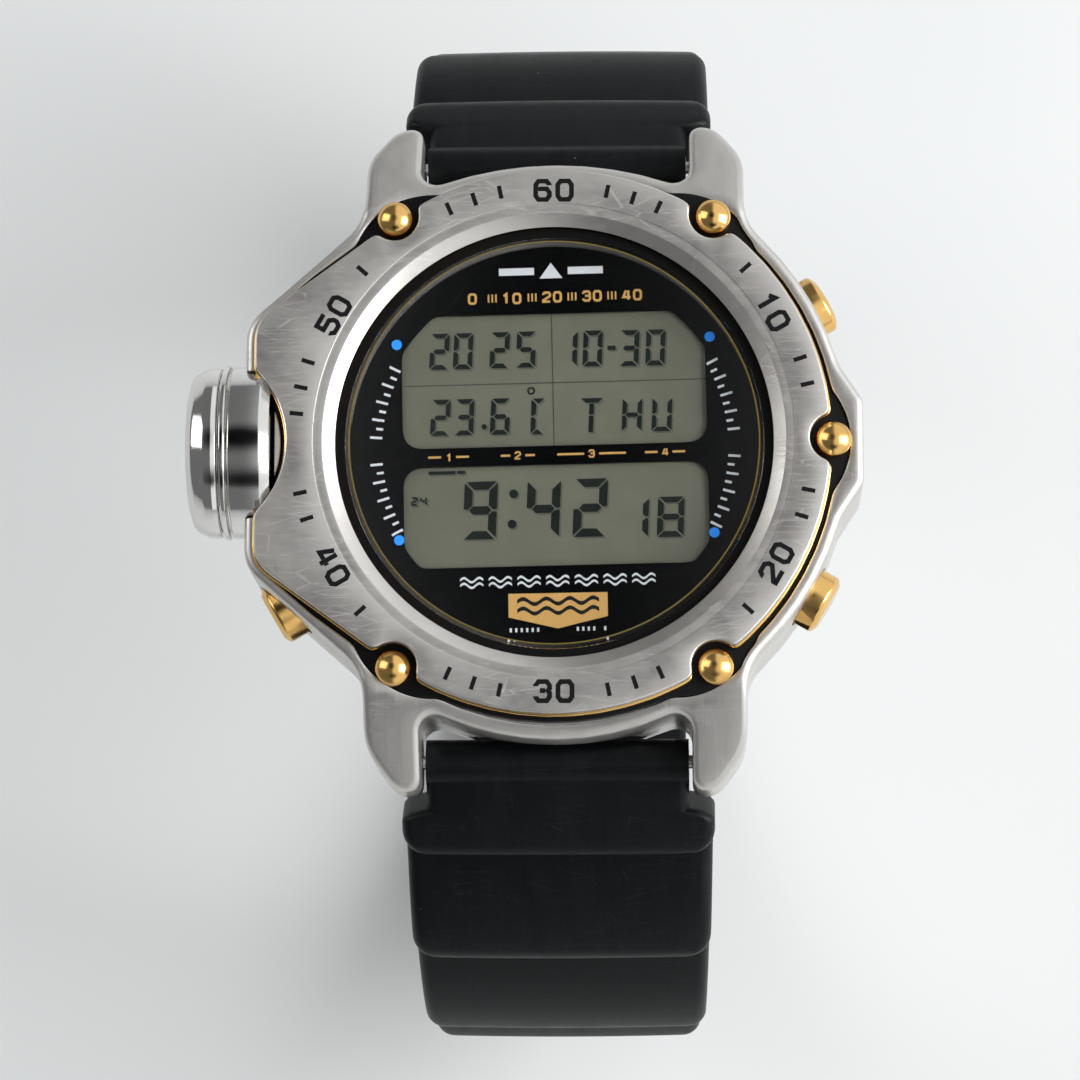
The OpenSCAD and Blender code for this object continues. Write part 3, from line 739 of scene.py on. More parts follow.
STEEL = (0.63, 0.61, 0.58)
GOLD = (0.80, 0.50, 0.17)
looks = {
    "case_steel": metal("case_steel", STEEL, 0.36, (5, 0.3, 0.6), 0.006, scratch=0.003, smudge=0.12),
    "bezel_steel": metal("bezel_steel", STEEL, 0.34, (0.7, 2.2, 1), 0.009, scratch=0.004, smudge=0.14),
    "flank_steel": metal("flank_steel", STEEL, 0.3, grain=(0.2, 0.2, 6), grain_depth=0.003, scratch=0.001),
    "polished_steel": metal("polished_steel", (0.72, 0.71, 0.69), 0.09, scratch=0.0008, smudge=0.06),
    "back_steel": metal("back_steel", STEEL, 0.3, grain=(0.25, 5, 1), grain_depth=0.003, scratch=0.002),
    "screw_steel": metal("screw_steel", (0.66, 0.65, 0.63), 0.2, scratch=0.001),
    "spring_steel": metal("spring_steel", (0.6, 0.6, 0.6), 0.25, grain=(0.2, 4, 4), grain_depth=0.002),
    "gold": metal("gold_plate", GOLD, 0.16, scratch=0.0008, smudge=0.1, dull=(0.62, 0.36, 0.11)),
    "brass": metal("contact_brass", (0.76, 0.58, 0.28), 0.28, grain=(2, 0.3, 1), grain_depth=0.003),
    "battery": metal("battery_steel", (0.68, 0.68, 0.66), 0.24, grain=(0.4, 3, 1), grain_depth=0.002),
    "resin": resin("strap_resin"),
    "rubber": plastic("seal_rubber", (0.003, 0.003, 0.003), 0.6, 6.0, 0.01, shine=0.1),
    "housing": plastic("module_plastic", (0.03, 0.03, 0.035), 0.5),
    "ceramic": plastic("sensor_ceramic", (0.62, 0.60, 0.54), 0.4, 8.0, 0.004),
    "zebra": plastic("zebra_rubber", (0.45, 0.2, 0.22), 0.55, 12.0, 0.01, worn=(0.08, 0.05, 0.05)),
    "backlight": plastic("backlight_foil", (0.55, 0.62, 0.56), 0.35, 9.0, 0.002),
    "board": board_look(),
    "glass": glass_look(),
    "dial": plastic("dial_black", (0.0012, 0.0014, 0.0016), 0.4, 9.0, 0.0015, shine=0.02),
    "lcd": plastic("lcd_glass", (0.105, 0.109, 0.082), 0.35, 2.0, 0.001, (0.115, 0.119, 0.09), 0.2),
    "lcd_ink": ink("lcd_segments", (0.005, 0.008, 0.007), 0.5),
    "lcd_shade": ink("lcd_shade", (0.072, 0.076, 0.058), 0.5),
    "lcd_line": ink("lcd_grid", (0.05, 0.052, 0.045), 0.5),
    "black_ink": ink("black_ink", (0.004, 0.004, 0.0045), 0.6),
    "silver_ink": ink("silver_ink", (0.62, 0.65, 0.68), 0.35, 0.3),
    "gold_ink": ink("gold_ink", (0.60, 0.36, 0.12), 0.35, 0.4),
    "olive_ink": ink("olive_ink", (0.20, 0.15, 0.03), 0.4, 0.2),
    "blue_ink": ink("blue_ink", (0.02, 0.25, 0.85), 0.35),
    # the seat's own black plastic, also used as painted shade in the case's sensor pocket
    "seat": plastic("seat_plastic_and_pocket_shade", (0.004, 0.004, 0.0045), 0.38, 6.0, 0.006, shine=0.15),
}


def fit(obj, body, slot, *names, replaces=()):
    """Gives a piece its materials, its CAD body and the CAD nodes it stands for. The slot argument is not
    used.
    """
    obj.data.materials.clear()
    for name in names:
        obj.data.materials.append(looks[name].material)
    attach(obj, body)
    if replaces:
        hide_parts(*replaces)


def paint(obj, choose):
    """Sets each face's material number from its middle, in mm, and its normal."""
    marks = [choose(f.center / MM, f.normal) for f in obj.data.polygons]
    obj.data.polygons.foreach_set("material_index", marks)


# ---------------------------------------------------------------- case
def lug_drop(y):
    """How far the lugs' top faces have sloped down at a distance from the centre."""
    past, bend = max(abs(y) - 17.3, 0.0), 1.2
    return 0.7 * (math.sqrt(past * past + bend * bend) - bend)


def case_top(x, y):
    return CASE_TOP - lug_drop(y)


def case_foot(x, y):
    """The underside rises towards the lugs' tips."""
    return CASE_FOOT + 0.9 * max(0.0, (abs(y) - 19.5) / 6) ** 2


def case_tools():
    """Room for the strap ends and spring bars, the sensor, the pushers and the screws."""
    tools = [pocket_cutter(), drill(STEM_R + 0.05, 0, 7, along_x(-21), 96)]
    for side in (-1, 1):
        bar_place = across_x((side * BAR_Y, BAR_Z))
        tools.append(rod(2.4, LUG_IN - 0.15, bar_place))
        for end in (-1, 1):
            tools.append(rod(0.55, 1.2, Matrix.Translation((end * (LUG_IN + 0.2), 0, 0)) @ bar_place, 32))
    for pusher in PUSHERS.values():
        reach, r = pusher[1], pusher[2] + 0.2
        start, inside, outside = reach - CAP_T - 0.7, 14, 28
        profile = [(0, inside), (SHAFT_BORE_R, inside), (SHAFT_BORE_R, start), (r, start), (r, outside),
                   (0, outside)]
        tools.append(cutter(lathe_shell(profile, 48), pusher_place(pusher)))
    tools += [drill(0.52, 0, 3.6, upright(BACK_SCREW_RING_R, a), 32) for a in BACK_SCREW_ANGLES]
    tools += [drill(0.72, 7, 12, upright(SCREW_RING_R, a), 32) for a in SCREWS]
    return tools


def upright(r, angle):
    """Moves a shape out to a radius and an angle without tilting it."""
    return Matrix.Translation((*polar(r, angle), 0))


def make_case():
    edge, foot_edge = CASE_EDGE, 0.5
    outer = case_outline()
    recess = soften(within(resample(seat_outline(0.05), 0.16), inset(outer, edge + 0.2)), 2)
    shell = Shell()

    def ring(depth, z):
        return shell.flat(inset(outer, depth), z)

    rings = []
    for a in np.linspace(0, math.pi / 2, 5):
        rise = foot_edge * (1 - math.cos(a))
        rings.append(ring(foot_edge * (1 - math.sin(a)), lambda x, y, rise=rise: case_foot(x, y) + rise))
    for share in (0.25, 0.5, 0.75):
        rings.append(ring(0.0, lambda x, y, s=share: case_foot(x, y) * (1 - s) + case_top(x, y) * s))
    for a in np.linspace(0, math.pi / 2, 7):
        drop = edge * (1 - math.sin(a))
        rings.append(ring(edge * (1 - math.cos(a)), lambda x, y, drop=drop: case_top(x, y) - drop))
    shell.sweep(rings)
    lip = [shell.flat(inset(recess, -0.12), case_top),
           shell.flat(inset(recess, -0.03), lambda x, y: case_top(x, y) - 0.04),
           shell.flat(recess, lambda x, y: case_top(x, y) - 0.12), shell.flat(recess, SEAT_FOOT)]
    shell.cap(rings[-1], [lip[0]], z=case_top, grid=0.8)
    shell.sweep(lip)
    back_seat = CASE_FOOT + 0.6
    bore = [(GLASS_BORE_R, SEAT_FOOT), (GLASS_BORE_R, LEDGE_TOP), (LEDGE_R, LEDGE_TOP), (LEDGE_R, LEDGE_FOOT),
            (CAVITY_R, LEDGE_FOOT), (CAVITY_R, back_seat), (BACK_R, back_seat), (BACK_R, CASE_FOOT)]
    bores = [shell.flat(circle(r), z) for r, z in bore]
    shell.cap(lip[-1], [bores[0]])
    shell.sweep(bores)
    shell.cap(rings[0], [bores[-1]], up=False, z=case_foot, grid=1.2)
    case = make_object("case_steel_body", shell)

    carve(case, case_tools())
    finish_mesh(case.data, 32)

    def finish_of(middle, normal):
        """Painted shade: the sensor's pocket is given the black seat plastic to darken it. Brushed on top,
        polished on slopes and between the lugs.
        """
        if middle.x < 0.3 - POCKET_FROM and math.hypot(middle.y, middle.z - SENSOR_Z) < POCKET_R + 0.03:
            return 3
        gap_side = abs(middle.x) <= LUG_IN + 0.75 and abs(middle.y) > 18.5
        if normal.z > 0.93:
            return 0
        if gap_side or normal.z > 0.25:
            return 1
        return 2

    paint(case, finish_of)
    # the fourth look, the seat's black plastic, is painted shade in the sensor's pocket
    finishes_and_pocket_shade = ("case_steel", "polished_steel", "flank_steel", "seat")
    fit(case, "watch_body", "brushed_case_steel", *finishes_and_pocket_shade, replaces=["case_body"])


def make_plates():
    loop = soften(within(seat_outline(0), inset(case_outline(), CASE_EDGE + 0.26)), 2)
    seat = make_object("seat_plate", plate_shell(loop, SEAT_FOOT, TRIM_FOOT, 0.08, 0, GLASS_BORE_R))
    carve(seat, [pocket_cutter()], solver="EXACT")
    finish_mesh(seat.data)
    fit(seat, "watch_body", "black_plastic", "seat", replaces=["bezel_seat"])

    shell = plate_shell(bezel_outline(TRIM_GROW), TRIM_FOOT, BEZEL_FOOT, 0.12, 0.05, GLASS_BORE_R)
    fit(make_object("gold_trim_ring", shell), "watch_body", "gold_plate", "gold", replaces=["bezel_trim"])


def pocket_cutter():
    """The round pocket that the sensor lies in, open towards 9 o'clock."""
    deep = 9
    return drill(POCKET_R, 0, deep, along_x(-POCKET_FROM - deep), 96)


def make_bezel():
    loop = bezel_outline(0)
    shell = Shell()
    rings = [shell.flat(inset(loop, d), z) for d, z in rounded_edge(BEZEL_FOOT, BEZEL_TOP, 0.16, 0.0)]
    shell.sweep(rings)
    step, low = 0.05, BEZEL_TOP - 0.07
    profile = [(STEP_R + step * (1 - math.sin(a)), BEZEL_TOP - step * (1 - math.cos(a)))
               for a in np.linspace(0, math.pi / 2, 4)]
    profile += [(STEP_R, low), (STEP_R - 0.2, low - 0.02), (BEVEL_R + 0.1, low), (BEVEL_R, low - 0.02),
                (BEZEL_HOLE_R + 0.06, low - 0.6), (BEZEL_HOLE_R, low - 0.66), (BEZEL_HOLE_R, BEZEL_FOOT)]
    inner = [shell.flat(circle(r, 360), z) for r, z in profile]
    shell.cap(rings[-1], [inner[0]])
    shell.sweep(inner)
    shell.cap(rings[0], [inner[-1]], up=False)
    bezel = make_object("bezel_plate", shell, 20)

    def finish_of(middle, normal):
        r = math.hypot(middle.x, middle.y)
        return int(r < BEVEL_R - 0.02 or (r > STEP_R + 0.2 and normal.z < 0.9))

    paint(bezel, finish_of)
    fit(bezel, "watch_body", "brushed_case_steel", "bezel_steel", "polished_steel", replaces=["bezel"])


def make_screws():
    dome_r = 1.55
    centre = BEZEL_TOP - 0.05 - dome_r
    profile = [(0, 7.2), (0.7, 7.2), (0.7, TRIM_FOOT), (SCREW_HEAD_R, TRIM_FOOT)]
    for a in np.linspace(math.asin(SCREW_HEAD_R / dome_r), 0, 12):
        profile.append((dome_r * math.sin(a), centre + dome_r * math.cos(a)))
    shell = copies(lathe_shell(profile, 64), [upright(SCREW_RING_R, a) for a in SCREWS])
    screws = make_object("bezel_screw_set", shell, 50)
    fit(screws, "watch_body", "gold_plate", "gold", replaces=["bezel_screws"])


# ---------------------------------------------------------------- sensor and pushers
def make_sensor():
    drum_r, lip_r, bore_r = SENSOR_R, SENSOR_R + 0.08, 4.6
    drum = [
        (0.8, 16.6, 0), (STEM_R, 16.6, 0.2), (STEM_R, 20.85, 0.1), (drum_r - 0.5, 20.85, 0.1),
        (drum_r, 21.5, 0.3), (drum_r, 23.86, 0.12), (5.95, 23.9, 0.03), (5.95, 24.05, 0.03),
        (lip_r, 24.08, 0.12), (lip_r, 24.5, 0.12), (5.9, 24.52, 0.04), (5.9, 24.7, 0.04),
        (bore_r, 24.7, 0), (bore_r, 22.0, 0), (0.8, 22.0, 0)]
    body = make_object("sensor_drum", turned(drum, 160), 40, sensor_place())
    fit(body, "watch_body", "polished_steel", "polished_steel", replaces=["sensor_housing"])

    cap_r = SENSOR_R - 0.05
    cap = [
        (0, 25.6, 0), (bore_r, 25.6, 0), (bore_r, 24.72, 0), (cap_r - 0.05, 24.72, 0.08), (cap_r, 25.1, 0.2),
        (cap_r - 0.05, 25.7, 0.6), (cap_r - 0.55, 26.75, 0.9), (cap_r - 1.7, SENSOR_REACH, 0.6),
        (2.9, SENSOR_REACH, 0.15), (2.7, SENSOR_REACH - 0.25, 0.1), (0, SENSOR_REACH - 0.25, 0)]
    body = make_object("sensor_end_cap", solid_turned(cap, 160), 40, sensor_place())
    holes = [Matrix.Translation((0, *polar(1.7, a))) @ sensor_place() for a in range(0, 360, 60)]
    carve(body, [drill(0.35, 25, 28, place, 24) for place in holes])
    finish_mesh(body.data, 40)
    fit(body, "watch_body", "polished_steel", "polished_steel", replaces=["sensor_cap"])


def sensor_place():
    """A profile's height becomes the distance from the watch's centre towards 9 o'clock."""
    return quarter_turn((0, 0, SENSOR_Z), -90)


def make_pushers():
    shaft_r, groove_r = 0.9, 0.62
    for name, pusher in PUSHERS.items():
        reach, r = pusher[1], pusher[2]
        back = reach - CAP_T
        corners = [
            (0, 15.4, 0), (shaft_r, 15.4, 0.15), (shaft_r, 15.9, 0.02), (groove_r, 15.9, 0.02),
            (groove_r, 16.2, 0.02), (shaft_r, 16.2, 0.02), (shaft_r, back, 0.05), (r - 0.05, back, 0.15),
            (r, back + 0.5, 0.3), (r, reach - 0.32, 0.3), (r - 0.5, reach, 0.45), (0, reach, 0)]
        obj = make_object(f"pusher_cap_{name}", solid_turned(corners), 40, pusher_place(pusher))
        steel = name == "adjust"
        fit(obj, f"pusher_{name}_body", "polished_steel" if steel else "gold_plate",
            "screw_steel" if steel else "gold", replaces=[f"pusher_{name}"])


# ---------------------------------------------------------------- dial
def on_dial(points):
    return turn_points(np.array(points), DIAL_TURN)


def print_shapes(name, polygons, look, lift):
    """Ink shapes on the liquid crystal glass: each polygon is a list of points in mm."""
    flat_marks(name, marks_on_dial(map(as_part, polygons)), LCD_TOP, look, "lcd_glass", lift)


def window_outline(y0, y1, top_round, foot_round):
    """A window with its outer corners held inside a circle."""
    half = WINDOW_HALF
    corners = [(-half, y0, foot_round), (half, y0, foot_round), (half, y1, top_round), (-half, y1, top_round)]
    loop = resample(rounded(corners, 10), 0.2)
    loop = loop * np.minimum(1, WINDOW_REACH / np.hypot(*loop.T))[:, None]
    return soften(resample(loop, 0.2), 4)


def make_dial():
    windows = [window_outline(*UPPER_WINDOW, 1.2, 1.3), window_outline(*LOWER_WINDOW, 1.3, 1.2)]
    shell = Shell()
    outer = [shell.flat(circle(DIAL_R), DIAL_FOOT), shell.flat(circle(DIAL_R), DIAL_TOP)]
    shell.sweep(outer)
    tops, feet = [], []
    for w in map(on_dial, windows):
        heights = ((-0.06, DIAL_TOP), (0, DIAL_TOP - 0.06), (0, DIAL_FOOT))
        rings = [shell.flat(inset(w, depth), z) for depth, z in heights]
        shell.sweep(rings)
        tops.append(rings[0])
        feet.append(rings[-1])
    shell.cap(outer[1], tops)
    shell.cap(outer[0], feet, up=False)
    fit(make_object("dial_plate", shell), "watch_body", "dial_print", "dial", replaces=["dial_mask"])


SEGMENTS = {
    "0": "abcdef", "1": "bc", "2": "abged", "3": "abgcd", "4": "fgbc", "5": "afgcd", "6": "afgedc",
    "8": "abcdefg", "9": "abfgcd", "C": "adef", "T": "atu", "H": "bcefg", "U": "bcdef"}


def segment(which, w, h, t, gap):
    """One segment of a digit w by h with strokes t thick, with mitred ends and a gap between segments."""
    m, k, c = h / 2, t / 2, w / 2
    side = [(0, h - gap), (0, m + gap), (k, m + gap / 2 + 0.02), (t, m + k + gap / 2), (t, h - t - gap)]
    left, right, top = t + gap / 2, w - t - gap / 2, h - t - gap
    shapes = {
        "a": [(w - gap, h), (gap, h), (t + gap, h - t), (w - t - gap, h - t)],
        "d": [(gap, 0), (w - gap, 0), (w - t - gap, t), (t + gap, t)],
        "g": [(k + gap, m), (left, m - k), (right, m - k), (w - k - gap, m), (right, m + k), (left, m + k)],
        "f": side,
        "b": [(w - x, y) for x, y in reversed(side)],
        "e": [(x, h - y) for x, y in reversed(side)],
        "c": [(w - x, h - y) for x, y in side],
        "t": [(c - k, m + gap), (c, m + gap / 2), (c + k, m + gap), (c + k, top), (c - k, top)],
        "u": [(c - k, 0), (c + k, 0), (c + k, m - gap), (c, m - gap / 2), (c - k, m - gap)]}
    return shapes[which]


def readout(text, x, y, w, h, t, pitch, gap=0.07, lean=3.5):
    """Polygons of a row of digits whose lower left corner is at x, y. A space skips a place."""
    slope = math.tan(math.radians(lean))
    shapes = []
    for place, letter in enumerate(text):
        for which in SEGMENTS.get(letter, ""):
            left = x + place * pitch
            shapes.append([(left + px + py * slope, y + py) for px, py in segment(which, w, h, t, gap)])
    return shapes


def dot(x, y, r, count=20):
    return [(x + px, y + py) for px, py in circle(r, count)]


def bar(x0, y0, x1, y1):
    return [(x0, y0), (x1, y0), (x1, y1), (x0, y1)]


# text, left edge, foot, digit width and height, stroke, pitch, and where they differ the gap and the lean
READOUTS = [
    ("20", -9.2, 6.1, 1.42, 2.72, 0.36, 1.75), ("25", -4.75, 6.1, 1.42, 2.72, 0.36, 1.95),
    ("1", 0.28, 6.08, 1.42, 2.7, 0.36, 1), ("0", 2.12, 6.06, 1.42, 2.7, 0.36, 1),
    ("30", 4.82, 6.02, 1.42, 2.7, 0.36, 1.93), ("23", -9.2, 1.12, 1.42, 2.72, 0.36, 1.75),
    ("6", -4.8, 1.1, 1.42, 2.72, 0.36, 1), ("C", -1.82, 1.05, 1.0, 2.7, 0.36, 1),
    ("T", 1.75, 1.12, 1.75, 2.55, 0.34, 1), ("H", 4.9, 1.07, 1.45, 2.55, 0.34, 1),
    ("U", 7.1, 1.05, 1.45, 2.55, 0.34, 1), ("24", -10.66, -4.08, 0.5, 0.66, 0.15, 0.66, 0.01, 0),
    ("9", -6.95, -6.7, 2.45, 4.32, 0.62, 1, 0.1), ("42", -2.32, -6.7, 2.45, 4.32, 0.62, 3.45, 0.1),
    ("1", 4.85, -6.86, 1.8, 3.0, 0.44, 1, 0.08), ("8", 7.3, -6.86, 1.95, 3.0, 0.44, 1, 0.08)]


def make_lcd():
    half, foot, top = 11.4, -10.1, 10.15
    panel = rounded([(-half, foot, 0.4), (half, foot, 0.4), (half, top, 0.4), (-half, top, 0.4)], 15)
    shell = plate_shell(on_dial(resample(panel, 0.4)), foot_of("lcd_panel"), LCD_TOP, 0.08, 0.08)
    fit(make_object("lcd_glass_panel", shell), "watch_body", "lcd_glass", "lcd", replaces=["lcd_panel"])

    marks = [shape for row in READOUTS for shape in readout(*row)]
    marks += [bar(4.0, 7.26, 4.6, 7.58), bar(-9.35, -1.78, -7.38, -1.54), bar(-7.24, -1.78, -6.65, -1.54)]
    marks += [dot(-5.2, 1.72, 0.2), dot(-3.12, -3.36, 0.33), dot(-3.28, -5.62, 0.33)]
    print_shapes("lcd_segments", marks, "lcd_ink", 0.03)
    print_shapes("lcd_degree_ring", [dot(-1.69, 4.33, 0.3, 28)], "lcd_ink", 0.02)
    print_shapes("lcd_degree_hole", [dot(-1.69, 4.33, 0.15, 20)], "lcd", 0.03)
    shade = [[(x + 0.12, y - 0.13) for x, y in shape] for shape in marks]
    print_shapes("lcd_segment_shadows", shade, "lcd_shade", 0.012)
    grid = [bar(-11.3, 4.86, 11.3, 4.95), bar(-0.13, 0, -0.04, top)]
    print_shapes("lcd_grid_lines", grid, "lcd_line", 0.016)


CUT = 0.2
END = 1 - CUT
# each numeral's strokes in a box one unit wide and high, its corners cut by CUT
NUMERALS = {
    "0": [[(CUT, 0), (END, 0), (1, CUT), (1, END), (END, 1), (CUT, 1), (0, END), (0, CUT), (CUT, 0)]],
    "1": [[(0.15, 0.78), (0.55, 1), (0.55, 0)]],
    "2": [[(0, 0.74), (0, END), (CUT, 1), (END, 1), (1, END), (1, 0.62), (0, 0.14), (0, 0), (1, 0)]],
    "3": [[(0, 0.76), (0, END), (CUT, 1), (END, 1), (1, END), (1, 0.64), (0.88, 0.53), (1, 0.42), (1, CUT),
           (END, 0), (CUT, 0), (0, CUT), (0, 0.24)], [(0.3, 0.53), (0.7, 0.53)]],
    "4": [[(0.74, 1), (0.74, 0)], [(0.4, 1), (0, 0.28), (0.56, 0.28)], [(0.92, 0.28), (1.08, 0.28)]],
    "5": [[(1, 1), (0, 1), (0, 0.58), (END, 0.58), (1, 0.58 - CUT), (1, CUT), (END, 0), (CUT, 0), (0, CUT),
           (0, 0.24)]],
    "6": [[(1, 0.78), (1, END), (END, 1), (CUT, 1), (0, END), (0, CUT), (CUT, 0), (END, 0), (1, CUT),
           (1, 0.58 - CUT), (END, 0.58), (0.18, 0.58)]]}


def stroke(line, thick):
    """A bent line of a thickness, with mitred bends, as flat quads."""
    line = np.array(line, float)
    closed = np.allclose(line[0], line[-1])
    along = np.diff(line, axis=0)
    along /= np.linalg.norm(along, axis=1, keepdims=True)
    side = np.column_stack([-along[:, 1], along[:, 0]])
    before = np.vstack([side[-1:] if closed else side[:1], side])
    after = np.vstack([side, side[:1] if closed else side[-1:]])
    mitre = before + after
    mitre *= thick / np.maximum(np.sum(mitre * mitre, axis=1, keepdims=True), 0.8)
    points = np.vstack([line - mitre, line + mitre])
    count = len(line)
    return points, [(i, i + 1, count + i + 1, count + i) for i in range(count - 1)]


def glyphs(text, height, middle=(0, 0)):
    """Plain squared numerals of a height, as flat quads round a middle point."""
    points, faces, count = [], [], 0
    w, t = height * 0.78, height * 0.2
    pitch = w + t * 0.75
    for place, letter in enumerate(text):
        for line in NUMERALS[letter]:
            inner = [(place * pitch + t / 2 + x * (w - t), t / 2 + y * (height - t)) for x, y in line]
            corners, quads = stroke(inner, t)
            faces += [tuple(i + count for i in f) for f in quads]
            points.append(corners)
            count += len(corners)
    points = np.vstack(points)
    return points - (points.min(0) + points.max(0)) / 2 + np.array(middle), faces


def flat_marks(name, parts, z, look, slot, lift=0.012):
    """A thin layer of ink over a face at height z. Parts are (points, faces)."""
    corners, faces = [], []
    for points, part_faces in parts:
        faces += [tuple(i + len(corners) for i in f) for f in part_faces]
        corners += [(x * MM, y * MM, (z + lift) * MM) for x, y in points]
    mesh = bpy.data.meshes.new(name)
    mesh.from_pydata(corners, [], faces)
    work = bmesh.new()
    work.from_mesh(mesh)
    bmesh.ops.remove_doubles(work, verts=work.verts, dist=1e-7)
    bmesh.ops.recalc_face_normals(work, faces=work.faces)
    for f in work.faces:
        if f.normal.z < 0:
            f.normal_flip()
    grown = bmesh.ops.extrude_face_region(work, geom=work.faces[:])
    for v in (g for g in grown["geom"] if isinstance(g, bmesh.types.BMVert)):
        v.co.z -= INK_T * MM
    bmesh.ops.recalc_face_normals(work, faces=work.faces)
    work.to_mesh(mesh)
    work.free()
    fit(linked(name, mesh), "watch_body", slot, look)


def turn_points(points, degrees, shift=(0, 0)):
    """Turns points about the centre and then moves them."""
    return points @ np.column_stack([polar(1, degrees), polar(1, degrees + 90)]).T + np.array(shift)


def as_part(polygon):
    """One polygon as (points, faces)."""
    return np.array(polygon, float), [tuple(range(len(polygon)))]


def marks_on_dial(parts):
    return [(on_dial(points), faces) for points, faces in parts]


def wave(x0, x1, y, height, thick, waves, count=48):
    """A wavy line drawn as a strip."""
    xs = np.linspace(x0, x1, count)
    mid = y + height * np.sin((xs - x0) / (x1 - x0) * 2 * math.pi * waves)
    points = np.vstack([np.column_stack([xs, mid - thick / 2]), np.column_stack([xs, mid + thick / 2])])
    faces = [(i, i + 1, count + i + 1, count + i) for i in range(count - 1)]
    return points, faces


def ring_band(r0, r1, count):
    angles = np.linspace(0, 360, count)
    faces = [(i, count + i, count + i + 1, i + 1) for i in range(count - 1)]
    return np.array([polar(r, a) for r in (r0, r1) for a in angles]), faces


def make_dial_marks():
    # a plain chevron between two bars at 12 o'clock
    silver = [as_part(bar(-3.9, 13.0, -1.3, 13.55)), as_part(bar(1.2, 13.0, 3.8, 13.55)),
              as_part([(-0.9, 12.72), (0.8, 12.72), (-0.05, 13.9)])]
    # two rows of waves under the lower window
    for x in np.arange(-6.3, 6.9, 2.1):
        silver += [wave(x - 0.85, x + 0.85, y, 0.16, 0.17, 1.5) for y in (-9.8, -10.22)]
    # scales of long and short ticks at both sides
    for middle in (16, -16, 164, 196):
        for k in range(-4, 5):
            long = 0.9 if k % 2 == 0 else 0.5
            silver.append(as_part(turn_points(bar(12.75, -0.09, 12.75 + long, 0.09), middle + k * 2.9)))
    for x in (-3.5, -3.1, -2.7, -2.3, -1.9, -1.5, 1.4, 1.8, 2.2, 2.6, 3.4):
        silver.append(as_part(bar(x - 0.08, -13.75, x + 0.08, -13.45)))
    flat_marks("silver_dial_marks", marks_on_dial(silver), DIAL_TOP, "silver_ink", "dial_print")

    # a scale of tens over the upper window, with three ticks between its numerals
    gold = []
    for k, x in enumerate(np.arange(-5.9, 6.9, 2.95)):
        gold.append(glyphs(str(k * 10), 0.86, (x, 11.3)))
        if k < 4:
            gold += [as_part(bar(x + at - 0.06, 11.0, x + at + 0.06, 11.6)) for at in (1.2, 1.475, 1.75)]
    # four numbered spans between the windows
    for k, (x0, x1) in enumerate([(-9.35, -6.35), (-4.0, -1.5), (0.15, 5.2), (6.6, 9.55)]):
        middle = (x0 + x1) / 2
        gold.append(glyphs(str(k + 1), 0.62, (middle, -0.58)))
        gold += [as_part(bar(a, -0.66, b, -0.5)) for a, b in ((x0, middle - 0.55), (middle + 0.55, x1))]
    gold.append(as_part([(-3.64, -12.64), (-0.05, -13.53), (3.62, -12.7), (3.62, -10.93), (-3.64, -10.89)]))
    flat_marks("gold_dial_marks", marks_on_dial(gold), DIAL_TOP, "gold_ink", "dial_print")
    black = [wave(-3.0, 3.0, y, 0.2, 0.3, 3.5) for y in (-11.5, -12.2)]
    flat_marks("black_badge_waves", marks_on_dial(black), DIAL_TOP, "black_ink", "dial_print", 0.024)
    rim = [ring_band(15.03, 15.11, 181)]
    flat_marks("olive_rim_line", rim, top_of("crystal"), "olive_ink", "dial_print")
    corners = ((-11.55, 7.98), (11.57, 7.98), (-11.57, -6.7), (11.55, -6.7))
    dots = [as_part(dot(x, y, 0.38, 28)) for x, y in corners]
    flat_marks("blue_function_dots", marks_on_dial(dots), DIAL_TOP, "blue_ink", "dial_print")


def make_bezel_marks():
    """Numerals every ten minutes and ticks between them, left out beside a screw and at 9 o'clock."""
    marks = []
    for minute in range(60):
        a = 90 - 6 * minute
        from_screw = min(abs((a - screw + 180) % 360 - 180) for screw in SCREWS)
        if minute % 10 == 0:
            upright_turn = -90 if math.sin(math.radians(a)) > -0.2 else 90
            points, faces = glyphs(str(minute or 60), 1.75)
            marks.append((turn_points(points, a + upright_turn, polar(NUMERAL_R, a)), faces))
        elif minute % 10 not in (1, 9) and from_screw > 8.5 and abs((a - 180) % 360) > 9:
            low, half = (NUMERAL_R - 0.8, 0.22) if minute % 5 == 0 else (NUMERAL_R - 0.2, 0.16)
            marks.append(as_part(turn_points(bar(low, -half, NUMERAL_R + 0.8, half), a)))
    flat_marks("bezel_hour_marks", marks, BEZEL_TOP, "black_ink", "brushed_case_steel", 0.008)


def make_crystal():
    r = 15.4
    foot, top = foot_of("crystal"), top_of("crystal")
    corners = [(0, foot, 0), (r, foot, 0.1), (r, top - 0.3, 0.15), (r - 0.35, top, 0.2), (0, top, 0)]
    disc = make_object("crystal_disc", solid_turned(corners, 180), 30)
    paint(disc, lambda middle, normal: int(abs(normal.z) < 0.3))
    fit(disc, "watch_body", "crystal_glass", "glass", "rubber", replaces=["crystal"])


# ---------------------------------------------------------------- strap
def side_width(z):
    """The strap's full width at a height, narrowing towards the buckle."""
    return float(np.interp(z, [-38, -19.4, 0], [18.6, 21.9, 23.3]))


# angles on the side arc where the first three pleats end
RIDGES = [48.8, 29.5, 6.5]


